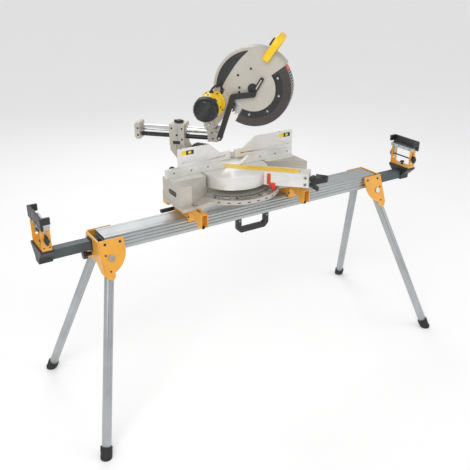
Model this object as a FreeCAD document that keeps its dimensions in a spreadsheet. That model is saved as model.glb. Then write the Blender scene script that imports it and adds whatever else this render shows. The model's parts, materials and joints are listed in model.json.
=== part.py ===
"""A sliding compound mitre saw bolted on a folding leg stand, as a parametric document in millimetres.

Frame: +Z up, the floor at Z 0, the origin below the middle of the stand's beam, the operator on the -Y side.
The saw is drawn in its own frame (origin on the table top, on the turntable's axis), and what turns with the
mitre arm is drawn in the arm frame, where forward along the arm is -Y and lateral is X. Both frames are
placed from the sheet, so the saw can be moved on the stand or set to another mitre angle.
"""
import FreeCAD
import Part
import Sketcher
import math
import os
import re

Vector = FreeCAD.Vector

# name: (value, what it is). Lengths are in millimetres and angles in degrees.
SIZES = {
    # stand: beam and arms
    "beam_half": (740, "half length of the aluminium beam"),
    "beam_top": (830, "height of the beam's flat top"),
    "beam_low": (768, "height of the beam's underside"),
    "beam_narrow": (55, "half width of the beam at its top"),
    "beam_wide": (64, "half width of the beam at its lowest rib"),
    "keel_half": (47, "half width of the channel under the beam"),
    "keel_low": (758.5, "underside of that channel"),
    "tube_size": (42, "side of each square extension tube"),
    "tube_wall": (2.5, "wall of the extension tube"),
    "tube_low": (763, "underside of the extension tubes"),
    "tube_off": (22, "centre of each tube from the beam's middle plane"),
    "tube_out": (1000, "outer end of each tube as stored"),
    "tube_long": (1200, "length of each tube"),
    "tube_gap": (0.5, "room around a tube in its guides"),
    # stand: end brackets and legs
    "web_x": (768, "inner face of the end web"),
    "web_thick": (8, "thickness of the end web"),
    "web_low": (688, "lower edge of the end web"),
    "plate_top": (822, "top of the sloping side plates"),
    "plate_off": (66, "side plate's middle from the beam's middle plane, at its top"),
    "plate_thick": (6, "thickness of the side plates"),
    "plate_in": (664, "inner edge of the side plates"),
    "plate_low": (1, "room below the side plates' round lower edge"),
    "plate_ear": (20, "radius of the ear at the side plates' lowest corner"),
    "splay": (21.5, "slope of the side plates and legs, front to back"),
    "lean": (13.8, "slope of the legs outward along the beam"),
    "pivot_x": (732, "leg pivot along the beam"),
    "pivot_high": (743, "leg pivot height"),
    "leg_off": (70, "leg's middle from the beam's middle plane at the pivot"),
    "leg_r": (20, "radius of a leg tube"),
    "leg_wall": (2, "wall of a leg tube"),
    "leg_stub": (2, "leg tube above its pivot"),
    "leg_end": (16, "how far a leg tube ends above the floor, along the leg"),
    "bolt_r": (6, "radius of a leg's pivot bolt"),
    "bolt_gap": (0.05, "running clearance of the pivots"),
    "foot_r": (24.5, "radius of a rubber foot"),
    "foot_long": (44, "length of the sleeve of a rubber foot"),
    "foot_pad": (11, "height of the flat pad of a rubber foot"),
    # stand: carry handle, saw brackets, supports
    "handle_half": (88, "half length of the carry handle"),
    "handle_low": (684, "underside of the carry handle"),
    "handle_thick": (24, "thickness of the carry handle"),
    "handle_off": (-30, "carry handle's middle from the beam's middle plane"),
    "bracket_left": (-340, "left saw bracket along the beam"),
    "bracket_right": (200, "right saw bracket along the beam"),
    "bracket_half": (182, "half length of a saw bracket"),
    "bracket_width": (34, "width of a saw bracket"),
    "bracket_top": (888, "height that the saw stands at"),
    "bracket_low": (826, "underside of the saw bracket's ends"),
    "bracket_wall": (4, "wall of a saw bracket"),
    "lever_thick": (14, "height of a bracket's clamp lever"),
    "lever_pin": (4, "radius of the clamp lever's pin"),
    "support_x": (973, "work support along the beam as stored"),
    "support_half": (29, "half length of the work support's base along the beam"),
    "support_top": (828, "top of the work support's black base"),
    "frame_half": (67, "half width of the yellow support frame"),
    "frame_deep": (20, "half depth of the yellow support frame"),
    "frame_high": (920, "top of the yellow support frame"),
    "frame_wall": (4, "wall of the yellow support frame"),
    "bar_half": (76, "half length of the support's silver bar"),
    "bar_low": (922, "underside of the silver bar"),
    "bar_high": (938, "top of the silver bar, which carries the work"),
    "stop_half": (87, "half length of the flip-up stop"),
    "stop_high": (974, "top of the flip-up stop"),
    "hinge_out": (14.5, "flip stop's hinge from the middle of the support"),
    "hinge_pin": (2.5, "radius of the flip stop's hinge pin"),
    "barrel_r": (5.5, "radius of the flip stop's hinge barrel"),
    "knob_high": (876, "height of the support's wing knobs"),
    # saw: place on the stand
    "saw_x": (-70, "turntable axis along the beam"),
    "saw_y": (30, "fence face from the beam's middle plane"),
    "base_high": (105, "height of the saw's table above its feet"),
    "mitre_rest": (45, "mitre angle as stored, to the right"),
    # saw: base, table and fences
    "base_half": (335, "half width of the base"),
    "base_rear": (44, "rear edge of the base behind the fence face"),
    "wing_front": (-122, "front edge of the base's wings"),
    "wing_in": (167, "inner edge of the wings, clear of the turntable"),
    "floor_top": (-86, "top of the base's floor and mitre scale"),
    "scale_r": (215, "outer radius of the mitre scale"),
    "table_r": (160, "radius of the turntable"),
    "table_low": (-58, "underside of the turntable"),
    "arm_half": (39, "half width of the table's arm"),
    "arm_out": (355, "front face of the table's arm"),
    "arm_low": (-62, "underside of the table's arm"),
    "kerf_half": (30, "half width of the kerf plates"),
    "kerf_slot": (7.5, "half width of the slot between the kerf plates"),
    "kerf_out": (312, "front end of the kerf plates, before its round end"),
    "kerf_thick": (3, "thickness of the kerf plates"),
    "fence_low": (38, "top of the fixed fence"),
    "fence_step": (78, "top of a sliding fence's low end"),
    "fence_top": (123, "top of a sliding fence"),
    "fence_deep": (20, "depth of the fixed fence"),
    "fence_thick": (8, "thickness of the sliding fences"),
    "fence_left_out": (-277, "outer end of the left sliding fence"),
    "fence_right_out": (335, "outer end of the right sliding fence"),
    "fence_gap": (12, "inner end of a sliding fence from the turntable axis"),
    "bow_in": (128, "inner radius of the bow that joins the fixed fence's halves"),
    "bow_out": (142, "outer radius of that bow"),
    # saw: bevel column and slide, in the arm frame (forward values are along the arm)
    "bevel_face": (-190, "face between the turntable's bracket and the bevel column"),
    "column_front": (-215, "front face of the column's head"),
    "column_rear": (-285, "rear face of the column's head"),
    "column_half": (40, "half width of the column"),
    "column_top": (190, "top of the column"),
    "hub_r": (46, "radius of the bevel hub"),
    "rail_high": (160, "height of the upper slide rail"),
    "rail_r": (13, "radius of the upper slide rail"),
    "rail_low": (128, "height of the lower slide rail"),
    "rail_low_r": (10, "radius of the lower slide rail"),
    "rail_rear": (-448, "rear end of the slide rails"),
    "rail_gap": (0.05, "running clearance of the rails in the column"),
    "brace_front": (-430, "front face of the rear brace"),
    "pivot_fwd": (-93, "chop pivot along the arm"),
    "pivot_up": (204, "chop pivot above the table"),
    "carriage_half": (30, "half width of the carriage"),
    "carriage_front": (-64, "front face of the carriage"),
    "carriage_rear": (-112, "rear face of the carriage"),
    "hinge_r": (27, "radius of the chop hinge's bosses"),
    "pin_r": (8, "radius of the chop hinge's pin"),
    # saw: head
    "arbor_fwd": (98, "arbor along the arm"),
    "arbor_up": (368, "arbor above the table"),
    "blade_r": (152.5, "radius of the blade"),
    "blade_thick": (2.6, "thickness of the blade"),
    "arbor_r": (12.7, "radius of the arbor at the blade"),
    "guard_r": (172, "outer radius of the upper guard"),
    "guard_half": (42, "half width of the upper guard"),
    "guard_wall": (4, "wall of the upper guard"),
    "guard_from": (37, "where the upper guard starts, above forward"),
    "guard_sweep": (178, "how far the upper guard goes round"),
    "low_guard_r": (165, "outer radius of the lower guard"),
    "low_guard_half": (36, "half width of the lower guard"),
    "low_guard_from": (-118, "where the lower guard starts"),
    "low_guard_sweep": (155, "how far the lower guard goes round"),
    "low_guard_in": (101, "inner radius of the lower guard's left wall"),
    "low_guard_hub": (31, "bore of the lower guard's right wall"),
    "cover_r": (98, "radius of the hub cover"),
    "motor_fwd": (-75, "motor axis along the arm"),
    "motor_up": (300, "motor axis above the table"),
    "motor_r": (52, "radius of the motor"),
    "motor_in": (-45, "inner end of the motor housing"),
    "motor_mid": (-163, "joint between the motor housing and its end cap"),
    "motor_out": (-207, "outer end of the motor's cap"),
    "grip_half": (70, "half width of the operating handle"),
    "grip_thick": (34, "thickness of the operating handle"),
    "grip_slope": (56, "slope of the operating handle's plane"),
    "grip_fwd": (149, "foot of the operating handle along the arm"),
    "grip_up": (488, "foot of the operating handle above the table"),
    "grip_long": (124, "length of the operating handle up its slope"),
    "link_fwd": (-46, "guard link's pivot along the arm"),
    "link_up": (146, "guard link's pivot above the table"),
    "link_r": (12, "half width of the guard link"),
}

SLOTS_IN_GUARD = 34
SIDES = {"left": -1, "right": 1}
ENDS = {"front": -1, "rear": 1}
UPRIGHT, ALONG_X, ALONG_Y = (0, 0, 1), (1, 0, 0), (0, 1, 0)

doc = FreeCAD.newDocument("mitre_saw_on_stand")
sheet = doc.addObject("Spreadsheet::Sheet", "dims")
for row, (alias, (size, meaning)) in enumerate(SIZES.items(), start=1):
    sheet.set(f"A{row}", alias)
    sheet.set(f"B{row}", str(size))
    sheet.set(f"C{row}", meaning)
    sheet.setAlias(f"B{row}", alias)
doc.recompute()

nodes = {}


# ---- helpers -------------------------------------------------------------------------------------------

def formula(text):
    """An expression with each name in it read from the sheet."""
    return re.sub(r"[a-z_]+", lambda m: f"dims.{m.group()}" if m.group() in SIZES else m.group(), str(text))


def size(text):
    """The number that an expression has now."""
    return float(sheet.evalExpression(formula(text)))


def bind(thing, **properties):
    for name, text in properties.items():
        thing.setExpression(name, formula(text))


def move(thing, x=0, y=0, z=0):
    for letter, text in zip("xyz", (x, y, z)):
        thing.setExpression(f"Placement.Base.{letter}", formula(text))
    return thing


def turn(thing, axis, angle):
    """Turn a thing about its own origin, which move() has put in place."""
    thing.Placement.Rotation = FreeCAD.Rotation(Vector(*axis), 1)
    thing.setExpression("Placement.Rotation.Angle", formula(angle))
    return thing


def block(low, high):
    """A box from its low corner to its high corner."""
    box = doc.addObject("Part::Box", "Block")
    bind(box, Length=f"({high[0]})-({low[0]})", Width=f"({high[1]})-({low[1]})",
         Height=f"({high[2]})-({low[2]})")
    return move(box, *low)


def rod(radius, start, length, axis=UPRIGHT):
    """A cylinder that starts at a point and runs along an axis."""
    cylinder = doc.addObject("Part::Cylinder", "Rod")
    bind(cylinder, Radius=radius, Height=length)
    cylinder.Placement.Rotation = FreeCAD.Rotation(Vector(0, 0, 1), Vector(*axis))
    return move(cylinder, *start)


def cross_rod(radius, forward, up, low, high):
    """A cylinder across the arm frame, from one lateral place to another."""
    return rod(radius, (low, f"-({forward})", up), f"({high})-({low})", ALONG_X)


def arm_rod(radius, lateral, up, front, rear):
    """A cylinder along the arm frame, from its front end back to its rear end."""
    return rod(radius, (lateral, f"-({front})", up), f"({front})-({rear})", ALONG_Y)


def arm_block(lateral, forward, up):
    """A box in the arm frame from three (low, high) pairs."""
    return block((lateral[0], f"-({forward[1]})", up[0]), (lateral[1], f"-({forward[0]})", up[1]))


def sector(radius, forward, up, low, high, start, sweep):
    """Part of a cylinder across the arm frame; its angles rise from forward towards up."""
    wedge = doc.addObject("Part::Cylinder", "Sector")
    bind(wedge, Radius=radius, Height=f"({high})-({low})", Angle=sweep)
    # the cylinder's own X goes to forward (-Y), its Y to up and its Z to lateral -X
    upright = FreeCAD.Rotation(Vector(0, -1, 0), Vector(0, 0, 1), Vector(-1, 0, 0), "ZXY")
    spin = FreeCAD.Rotation(Vector(0, 0, 1), size(start))
    wedge.Placement.Rotation = upright.multiply(spin)
    return move(wedge, high, f"-({forward})", up)


def outline(body, points, plane, holes=()):
    """A fully constrained sketch of straight sides, with round holes, on one of the body's own planes."""
    sketch = body.newObject("Sketcher::SketchObject", "Outline")
    origin_plane = [f for f in body.Origin.OriginFeatures if f.Role == plane][0]
    sketch.AttachmentSupport = (origin_plane, "")
    sketch.MapMode = "FlatFace"
    corners = [Vector(size(u), size(v), 0) for u, v in points]
    for here, after in zip(corners, corners[1:] + corners[:1]):
        sketch.addGeometry(Part.LineSegment(here, after), False)
    for i, (u, v) in enumerate(points):
        sketch.addConstraint(Sketcher.Constraint("Coincident", i, 2, (i + 1) % len(points), 1))
        pin_down(sketch, i, 1, u, v)
    for u, v, radius in holes:
        centre = Vector(size(u), size(v), 0)
        i = sketch.addGeometry(Part.Circle(centre, Vector(0, 0, 1), size(radius)), False)
        pin_down(sketch, i, 3, u, v)
        datum = sketch.addConstraint(Sketcher.Constraint("Radius", i, size(radius)))
        sketch.setExpression(f"Constraints[{datum}]", formula(radius))
    return sketch


def pin_down(sketch, shape, point, u, v):
    for kind, text in (("DistanceX", u), ("DistanceY", v)):
        datum = sketch.addConstraint(Sketcher.Constraint(kind, -1, 1, shape, point, size(text)))
        sketch.setExpression(f"Constraints[{datum}]", formula(text))


def plate(points, plane, low, high, holes=()):
    """A padded outline between two places along its plane's normal: XY_Plane, XZ_Plane or YZ_Plane."""
    body = doc.addObject("PartDesign::Body", "Plate")
    sketch = outline(body, points, plane, holes)
    pad = body.newObject("PartDesign::Pad", "Pad")
    pad.Profile = sketch
    pad.Reversed = plane == "XZ_Plane"
    bind(pad, Length=f"({high})-({low})")
    sketch.Visibility = False
    along = {"XY_Plane": "z", "XZ_Plane": "y", "YZ_Plane": "x"}[plane]
    return move(body, **{along: low})


def side_plate(points, low, high, holes=()):
    """A plate in the arm frame, across it, from (forward, up) points."""
    flip = [(f"-({forward})", up) for forward, up in points]
    flip_holes = [(f"-({forward})", up, radius) for forward, up, radius in holes]
    return plate(flip, "YZ_Plane", low, high, flip_holes)


def join(*shapes):
    if len(shapes) == 1:
        return shapes[0]
    fusion = doc.addObject("Part::MultiFuse", "Join")
    fusion.Shapes = list(shapes)
    return fusion


def carve(base, *tools):
    cut = doc.addObject("Part::Cut", "Carve")
    cut.Base = base
    cut.Tool = join(*tools)
    return cut


def keep(base, region):
    common = doc.addObject("Part::Common", "Keep")
    common.Base = base
    common.Tool = region
    return common


def group(*shapes):
    """Shapes kept whole in one object, which gives a lone primitive a placement of its own."""
    compound = doc.addObject("Part::Compound", "Group")
    compound.Links = list(shapes)
    return compound


def node(name, shape):
    """Name a finished sub-part of the stand."""
    shape.Label = name
    nodes[name] = shape
    return shape


def saw_node(name, shape):
    """Name a finished sub-part that is drawn in the saw's frame."""
    shape = shape if shape.TypeId in ("Part::Cut", "Part::MultiFuse", "Part::Common") else group(shape)
    return node(name, move(shape, "saw_x", "saw_y", "bracket_top + base_high"))


def arm_node(name, shape):
    """Name a finished sub-part that is drawn in the arm frame."""
    return turn(saw_node(name, shape), UPRIGHT, "mitre_rest")


def slot_shape(points, radius, low, high):
    """Round-ended bars across the arm frame through a chain of (forward, up) points."""
    parts = [cross_rod(radius, forward, up, low, high) for forward, up in points]
    for (f1, u1), (f2, u2) in zip(points, points[1:]):
        along, rise = size(f"({f2})-({f1})"), size(f"({u2})-({u1})")
        bar = doc.addObject("Part::Box", "Bar")
        bind(bar, Length=f"({high})-({low})", Width=f"2*({radius})", Height=repr(math.hypot(along, rise)))
        tilt = math.degrees(math.atan2(along, rise))
        bar.Placement.Rotation = FreeCAD.Rotation(Vector(1, 0, 0), tilt)
        # the bar's long side starts on the first point, half its width to one side
        side = Vector(0, -math.cos(math.radians(tilt)), -math.sin(math.radians(tilt)))
        move(bar, low, f"-({f1}) + ({side.y}) * ({radius})", f"({u1}) + ({side.z}) * ({radius})")
        parts.append(bar)
    return join(*parts)


# ---- stand: beam, tubes and carry handle ---------------------------------------------------------------

def make_beam():
    """An extrusion with stepped ribs down both sides, and a channel below for the extension tubes."""
    ribs = 4
    side = [("beam_narrow - 3", "beam_top"), ("beam_narrow", "beam_top - 3")]
    for k in range(ribs):
        step = f"(beam_wide - beam_narrow) * {k} / {ribs}"
        top = f"beam_top - 6 - (beam_top - beam_low - 8) * {k} / {ribs}"
        pitch = f"(beam_top - beam_low - 8) / {ribs}"
        side += [(f"beam_narrow + {step} - 2.5", top), (f"beam_narrow + {step} + 2", f"{top} - 2.5"),
                 (f"beam_narrow + {step} + 2", f"{top} - {pitch} + 3.5")]
    side += [("beam_wide - 2", "beam_low"), ("keel_half", "beam_low"), ("keel_half", "keel_low")]
    mirror = [(f"-({y})", z) for y, z in reversed(side)]
    grooves = []
    for y in (-34, 34):
        grooves += [(y - 2, "beam_top"), (y - 1.2, "beam_top - 1"), (y + 1.2, "beam_top - 1"), (y + 2, "beam_top")]
    profile = plate(mirror + grooves + side, "YZ_Plane", "-beam_half", "beam_half")
    channel = block(("-beam_half - 1", "-(tube_off + tube_size/2 + tube_gap)", "tube_low - tube_gap"),
                    ("beam_half + 1", "tube_off + tube_size/2 + tube_gap", "tube_low + tube_size + tube_gap"))
    hollow = block(("-beam_half - 1", "-(beam_narrow - 6)", "tube_low + tube_size + 5"),
                   ("beam_half + 1", "beam_narrow - 6", "beam_top - 5"))
    node("beam", carve(profile, channel, hollow))


def make_tubes():
    for side, sign in SIDES.items():
        inner, outer = f"{sign} * (tube_out - tube_long)", f"{sign} * tube_out"
        low, high = (outer, inner) if sign < 0 else (inner, outer)
        middle = f"{-sign} * tube_off"
        shell = block((low, f"{middle} - tube_size/2", "tube_low"),
                      (high, f"{middle} + tube_size/2", "tube_low + tube_size"))
        bore = block((f"{low} - 1", f"{middle} - tube_size/2 + tube_wall", "tube_low + tube_wall"),
                     (f"{high} + 1", f"{middle} + tube_size/2 - tube_wall", "tube_low + tube_size - tube_wall"))
        node(f"arm_tube_{side}", carve(shell, bore))


def make_carry_handle():
    """A D-shaped loop that hangs under the beam, with two feet screwed to its channel."""
    thick = "handle_thick"
    loop = [("-handle_half", "keel_low"), ("-handle_half", f"handle_low + {thick}*0.8"),
            (f"-handle_half + {thick}*0.8", "handle_low"), (f"handle_half - {thick}*0.8", "handle_low"),
            ("handle_half", f"handle_low + {thick}*0.8"), ("handle_half", "keel_low"),
            (f"handle_half - {thick}", "keel_low"), (f"handle_half - {thick}", f"handle_low + {thick} + 8"),
            (f"handle_half - {thick} - 12", f"handle_low + {thick}"),
            (f"-handle_half + {thick} + 12", f"handle_low + {thick}"),
            (f"-handle_half + {thick}", f"handle_low + {thick} + 8"), (f"-handle_half + {thick}", "keel_low")]
    node("carry_handle", plate(loop, "XZ_Plane", f"handle_off - {thick}/2", f"handle_off + {thick}/2"))


# ---- stand: end brackets and legs ----------------------------------------------------------------------

def leg_placement(sign, end):
    """The frame of one leg: its origin on the pivot, Z down the leg, X along the pivot bolt, outwards."""
    splay, lean = math.radians(size("splay")), math.radians(size("lean"))
    bolt = Vector(0, end * math.cos(splay), math.sin(splay))
    down = Vector(sign * math.sin(lean), end * math.cos(lean) * math.sin(splay),
                  -math.cos(lean) * math.cos(splay))
    turned = FreeCAD.Rotation(bolt, down.cross(bolt), down, "ZXY")
    return FreeCAD.Placement(Vector(sign * size("pivot_x"), end * size("leg_off"), size("pivot_high")), turned)


def leg_length():
    down = math.cos(math.radians(size("splay"))) * math.cos(math.radians(size("lean")))
    return size("pivot_high") / down


def on_leg(shape, sign, end):
    shape.Placement = leg_placement(sign, end).multiply(shape.Placement)
    return shape


def leg_rod(radius, start, length, sign, end, axis=UPRIGHT):
    """A cylinder in a leg's frame; its size is bound and its place comes from the leg's frame."""
    cylinder = doc.addObject("Part::Cylinder", "LegRod")
    bind(cylinder, Radius=radius, Height=length)
    cylinder.Placement = FreeCAD.Placement(Vector(*[size(v) for v in start]),
                                           FreeCAD.Rotation(Vector(0, 0, 1), Vector(*axis)))
    return on_leg(cylinder, sign, end)


def make_end_bracket(side, sign):
    """A cast bracket: an end web that guides the tube, and a sloping plate on each side for a leg."""
    low, high = ("web_x", "web_x + web_thick") if sign > 0 else ("-web_x - web_thick", "-web_x")
    slope = "tan(splay)"
    foot = f"(plate_off + (plate_top - web_low) * {slope})"
    web = plate([(f"-{foot}", "web_low"), (f"-{foot} + 34", "web_low"), ("-34", "web_low + 30"),
                 ("34", "web_low + 30"), (f"{foot} - 34", "web_low"), (foot, "web_low"),
                 ("plate_off", "plate_top"), ("-plate_off", "plate_top")], "YZ_Plane", low, high)
    parts = [web]
    for end in ENDS.values():
        inner, outer = ("plate_in", "web_x + 1") if sign > 0 else ("-web_x - 1", "-plate_in")
        cheek_low, cheek_high = ("plate_off", "plate_off + 5") if end > 0 else ("-plate_off - 5", "-plate_off")
        parts.append(block((inner, cheek_low, "plate_top - 28"), (outer, cheek_high, "plate_top + 4")))
        deep = "(plate_top - web_low) / cos(splay)"
        # square above, and below it a quarter round whose radius is the plate's width
        round_r = "(web_x + 1 - plate_in)"
        upper = block((inner, "-plate_thick/2", f"-{deep} + {round_r}"), (outer, "plate_thick/2", 0))
        lower = block((inner, "-plate_thick/2", f"-{deep} - plate_low"), (outer, "plate_thick/2", f"-{deep} + {round_r}"))
        disc = rod(round_r, (f"{sign} * (web_x + 1)", "-plate_thick/2", f"-{deep} + {round_r}"), "plate_thick", ALONG_Y)
        ear = rod("plate_ear", (f"{sign} * (web_x + 1 - plate_ear)", "-plate_thick/2", f"-{deep}"), "plate_thick", ALONG_Y)
        sheet_part = join(upper, keep(disc, lower), ear)
        sloped = turn(move(sheet_part, 0, f"{end} * plate_off", "plate_top"), ALONG_X, f"{end} * splay")
        parts.append(sloped)
    tube = f"{-sign} * tube_off"
    opening = block((f"{low} - 1", f"{tube} - tube_size/2 - tube_gap", "tube_low - tube_gap"),
                    (f"{high} + 1", f"{tube} + tube_size/2 + tube_gap", "tube_low + tube_size + tube_gap"))
    holes = [leg_rod("bolt_r", (-20, 0, 0), "80", sign, end, ALONG_X) for end in ENDS.values()]
    knob_hole = rod(4, (f"{sign} * (web_x - 2)", tube, "tube_low - 24"), "14", (sign, 0, 0))
    node(f"end_bracket_{side}", carve(join(*parts), opening, knob_hole, *holes))


def make_legs():
    for side, sign in SIDES.items():
        bolts = []
        for end_name, end in ENDS.items():
            name = f"{end_name}_{side}"
            long = f"({leg_length()} - leg_end)"
            shell = leg_rod("leg_r", (0, 0, "-leg_stub - leg_r*0.4"), f"{long} + leg_stub + leg_r*0.4", sign, end)
            bore = leg_rod("leg_r - leg_wall", (0, 0, "-leg_stub - leg_r*0.4 - 1"), f"{long} + leg_stub + 10", sign,
                           end)
            cross = leg_rod("bolt_r + bolt_gap", (-30, 0, 0), "60", sign, end, ALONG_X)
            node(f"leg_{name}", carve(shell, bore, cross))
            shaft = leg_rod("bolt_r", ("-leg_r - 3", 0, 0), "leg_r + 36", sign, end, ALONG_X)
            nut = leg_rod("bolt_r + 5", ("-leg_r - 8", 0, 0), "6", sign, end, ALONG_X)
            head = leg_rod("bolt_r + 7", (bolt_head_start(), 0, 0), "6", sign, end, ALONG_X)
            bolts.append(join(shaft, nut, head))
            make_foot(name, sign, end)
        node(f"pivot_bolts_{side}", group(*bolts))


def bolt_head_start():
    """Where a pivot bolt's head rests on the side plate's outer face, along the bolt from the leg's middle."""
    drop = size("plate_top - pivot_high")
    across = size("plate_off - leg_off") + drop * math.tan(math.radians(size("splay")))
    return across * math.cos(math.radians(size("splay"))) + size("plate_thick") / 2


def make_foot(name, sign, end):
    """A rubber foot: a sleeve round the leg's end that meets the floor on a flat pad."""
    long = leg_length()
    sleeve = leg_rod("foot_r", (0, 0, f"{long} - foot_long"), "foot_long + 12", sign, end)
    tip = leg_placement(sign, end).multVec(Vector(0, 0, long))
    pad = rod("foot_r", (repr(tip.x), repr(tip.y), 0), "foot_pad")
    below = block((f"{tip.x} - 90", f"{tip.y} - 90", -60), (f"{tip.x} + 90", f"{tip.y} + 90", 0))
    # what the sleeve has beyond the pad's round outline, low down, goes
    ring = carve(rod("foot_r + 40", (repr(tip.x), repr(tip.y), 0), "foot_pad"),
                 rod("foot_r", (repr(tip.x), repr(tip.y), -1), "foot_pad + 2"))
    socket = leg_rod("leg_r", (0, 0, f"{long} - leg_end - foot_long"), "foot_long", sign, end)
    node(f"foot_{name}", carve(join(carve(sleeve, below, ring), pad), socket))


# ---- stand: saw brackets, clamp levers, supports, knobs ------------------------------------------------

def make_saw_bracket(side, middle):
    """A hollow arch across the beam: deep ends, a scalloped underside, and a saddle that grips the beam."""
    half, top = "bracket_half", "bracket_top"
    right = [(half, top), (half, "bracket_low"), (f"{half} - 34", "bracket_low"),
             (f"{half} - 44", "bracket_low + 20"), (f"{half} - 58", "bracket_low + 26"),
             (f"{half} - 66", "bracket_low + 36"), (f"{half} - 84", "bracket_low + 40"),
             ("beam_narrow + 22", "bracket_low + 40"), ("beam_narrow + 14", "bracket_low + 26"),
             ("beam_narrow + 12", "beam_top - 14"), ("beam_narrow + 3.2", "beam_top - 14"),
             ("beam_narrow + 3.2", "beam_top + 0.2")]
    left = [(f"-({y})", z) for y, z in reversed(right)]
    width = "bracket_width"
    arch = plate(right + left, "YZ_Plane", f"{middle} - {width}/2", f"{middle} + {width}/2")
    cores = [block((f"{middle} - {width}/2 + bracket_wall", low, "bracket_low + 45"),
                   (f"{middle} + {width}/2 - bracket_wall", high, "bracket_top - bracket_wall"))
             for low, high in (("-bracket_half - 1", "-40"), ("40", "bracket_half + 1"))]
    mouths = [block((f"{middle} - {width}/2 + bracket_wall", low, "bracket_low - 1"),
                    (f"{middle} + {width}/2 - bracket_wall", high, "bracket_low + 46"))
              for low, high in (("-bracket_half - 1", "-bracket_half + 26"),
                                ("bracket_half - 26", "bracket_half + 1"))]
    slots = [block((f"{middle} - 5", low, "bracket_top - 10"), (f"{middle} + 5", high, "bracket_top + 1"))
             for low, high in (("-150", "-90"), ("90", "150"))]
    lug = block((f"{middle} - 12", "beam_narrow + 8", "beam_top - 9.7 + lever_thick"),
                (f"{middle} + 12", "beam_narrow + 40", "beam_top + 8 + lever_thick"))
    lever_pin = rod("lever_pin", (middle, "beam_narrow + 30", "beam_top - 12"), 30)
    node(f"saw_bracket_{side}", join(carve(arch, *cores, *mouths, *slots), lug, lever_pin))
    hinge_y = "beam_narrow + 30"
    hub = rod(9, (middle, hinge_y, "beam_top - 10"), "lever_thick")
    paddle = block((f"{middle} - 78", f"{hinge_y} - 8", "beam_top - 10"),
                   (middle, f"{hinge_y} + 8", "beam_top - 10 + lever_thick"))
    lever_bore = rod("lever_pin + bolt_gap", (middle, hinge_y, "beam_top - 12"), 40)
    node(f"clamp_lever_{side}", carve(join(hub, paddle), lever_bore))


def make_support(side, sign):
    """A work support on the tube's end: black base, yellow frame, silver bar, flip-up stop and knobs."""
    x, y = f"{sign} * support_x", f"{-sign} * tube_off"
    flare = [("-25", "tube_low - 6"), ("25", "tube_low - 6"), ("25", "tube_low + 14"),
             ("68", "support_top - 10"), ("68", "support_top"), ("-68", "support_top"),
             ("-68", "support_top - 10"), ("-25", "tube_low + 14")]
    shape = plate([(f"{y} + ({v})", z) for v, z in flare], "YZ_Plane", f"{x} - support_half",
                  f"{x} + support_half")
    inner, outer = (f"{x} - support_half - 1", f"{sign} * tube_out")
    low, high = (inner, outer) if sign > 0 else (outer, f"{x} + support_half + 1")
    tube = block((low, f"{y} - tube_size/2", "tube_low"), (high, f"{y} + tube_size/2", "tube_low + tube_size"))
    node(f"support_base_{side}", carve(shape, tube))
    make_support_frame(side, x, y)
    make_support_bar(side, sign, x, y)


def make_support_frame(side, x, y):
    """The yellow U: a foot on the base, and two uprights with a slot each."""
    solid = block((f"{x} - frame_deep", f"{y} - frame_half", "support_top"),
                  (f"{x} + frame_deep", f"{y} + frame_half", "frame_high"))
    room = block((f"{x} - frame_deep - 1", f"{y} - frame_half + frame_wall", "support_top + frame_wall"),
                 (f"{x} + frame_deep + 1", f"{y} + frame_half - frame_wall", "frame_high + 1"))
    slot = block((f"{x} - 5", f"{y} - frame_half - 1", "knob_high - 25"),
                 (f"{x} + 5", f"{y} + frame_half + 1", "frame_high - 8"))
    node(f"support_frame_{side}", carve(solid, room, slot))


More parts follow.
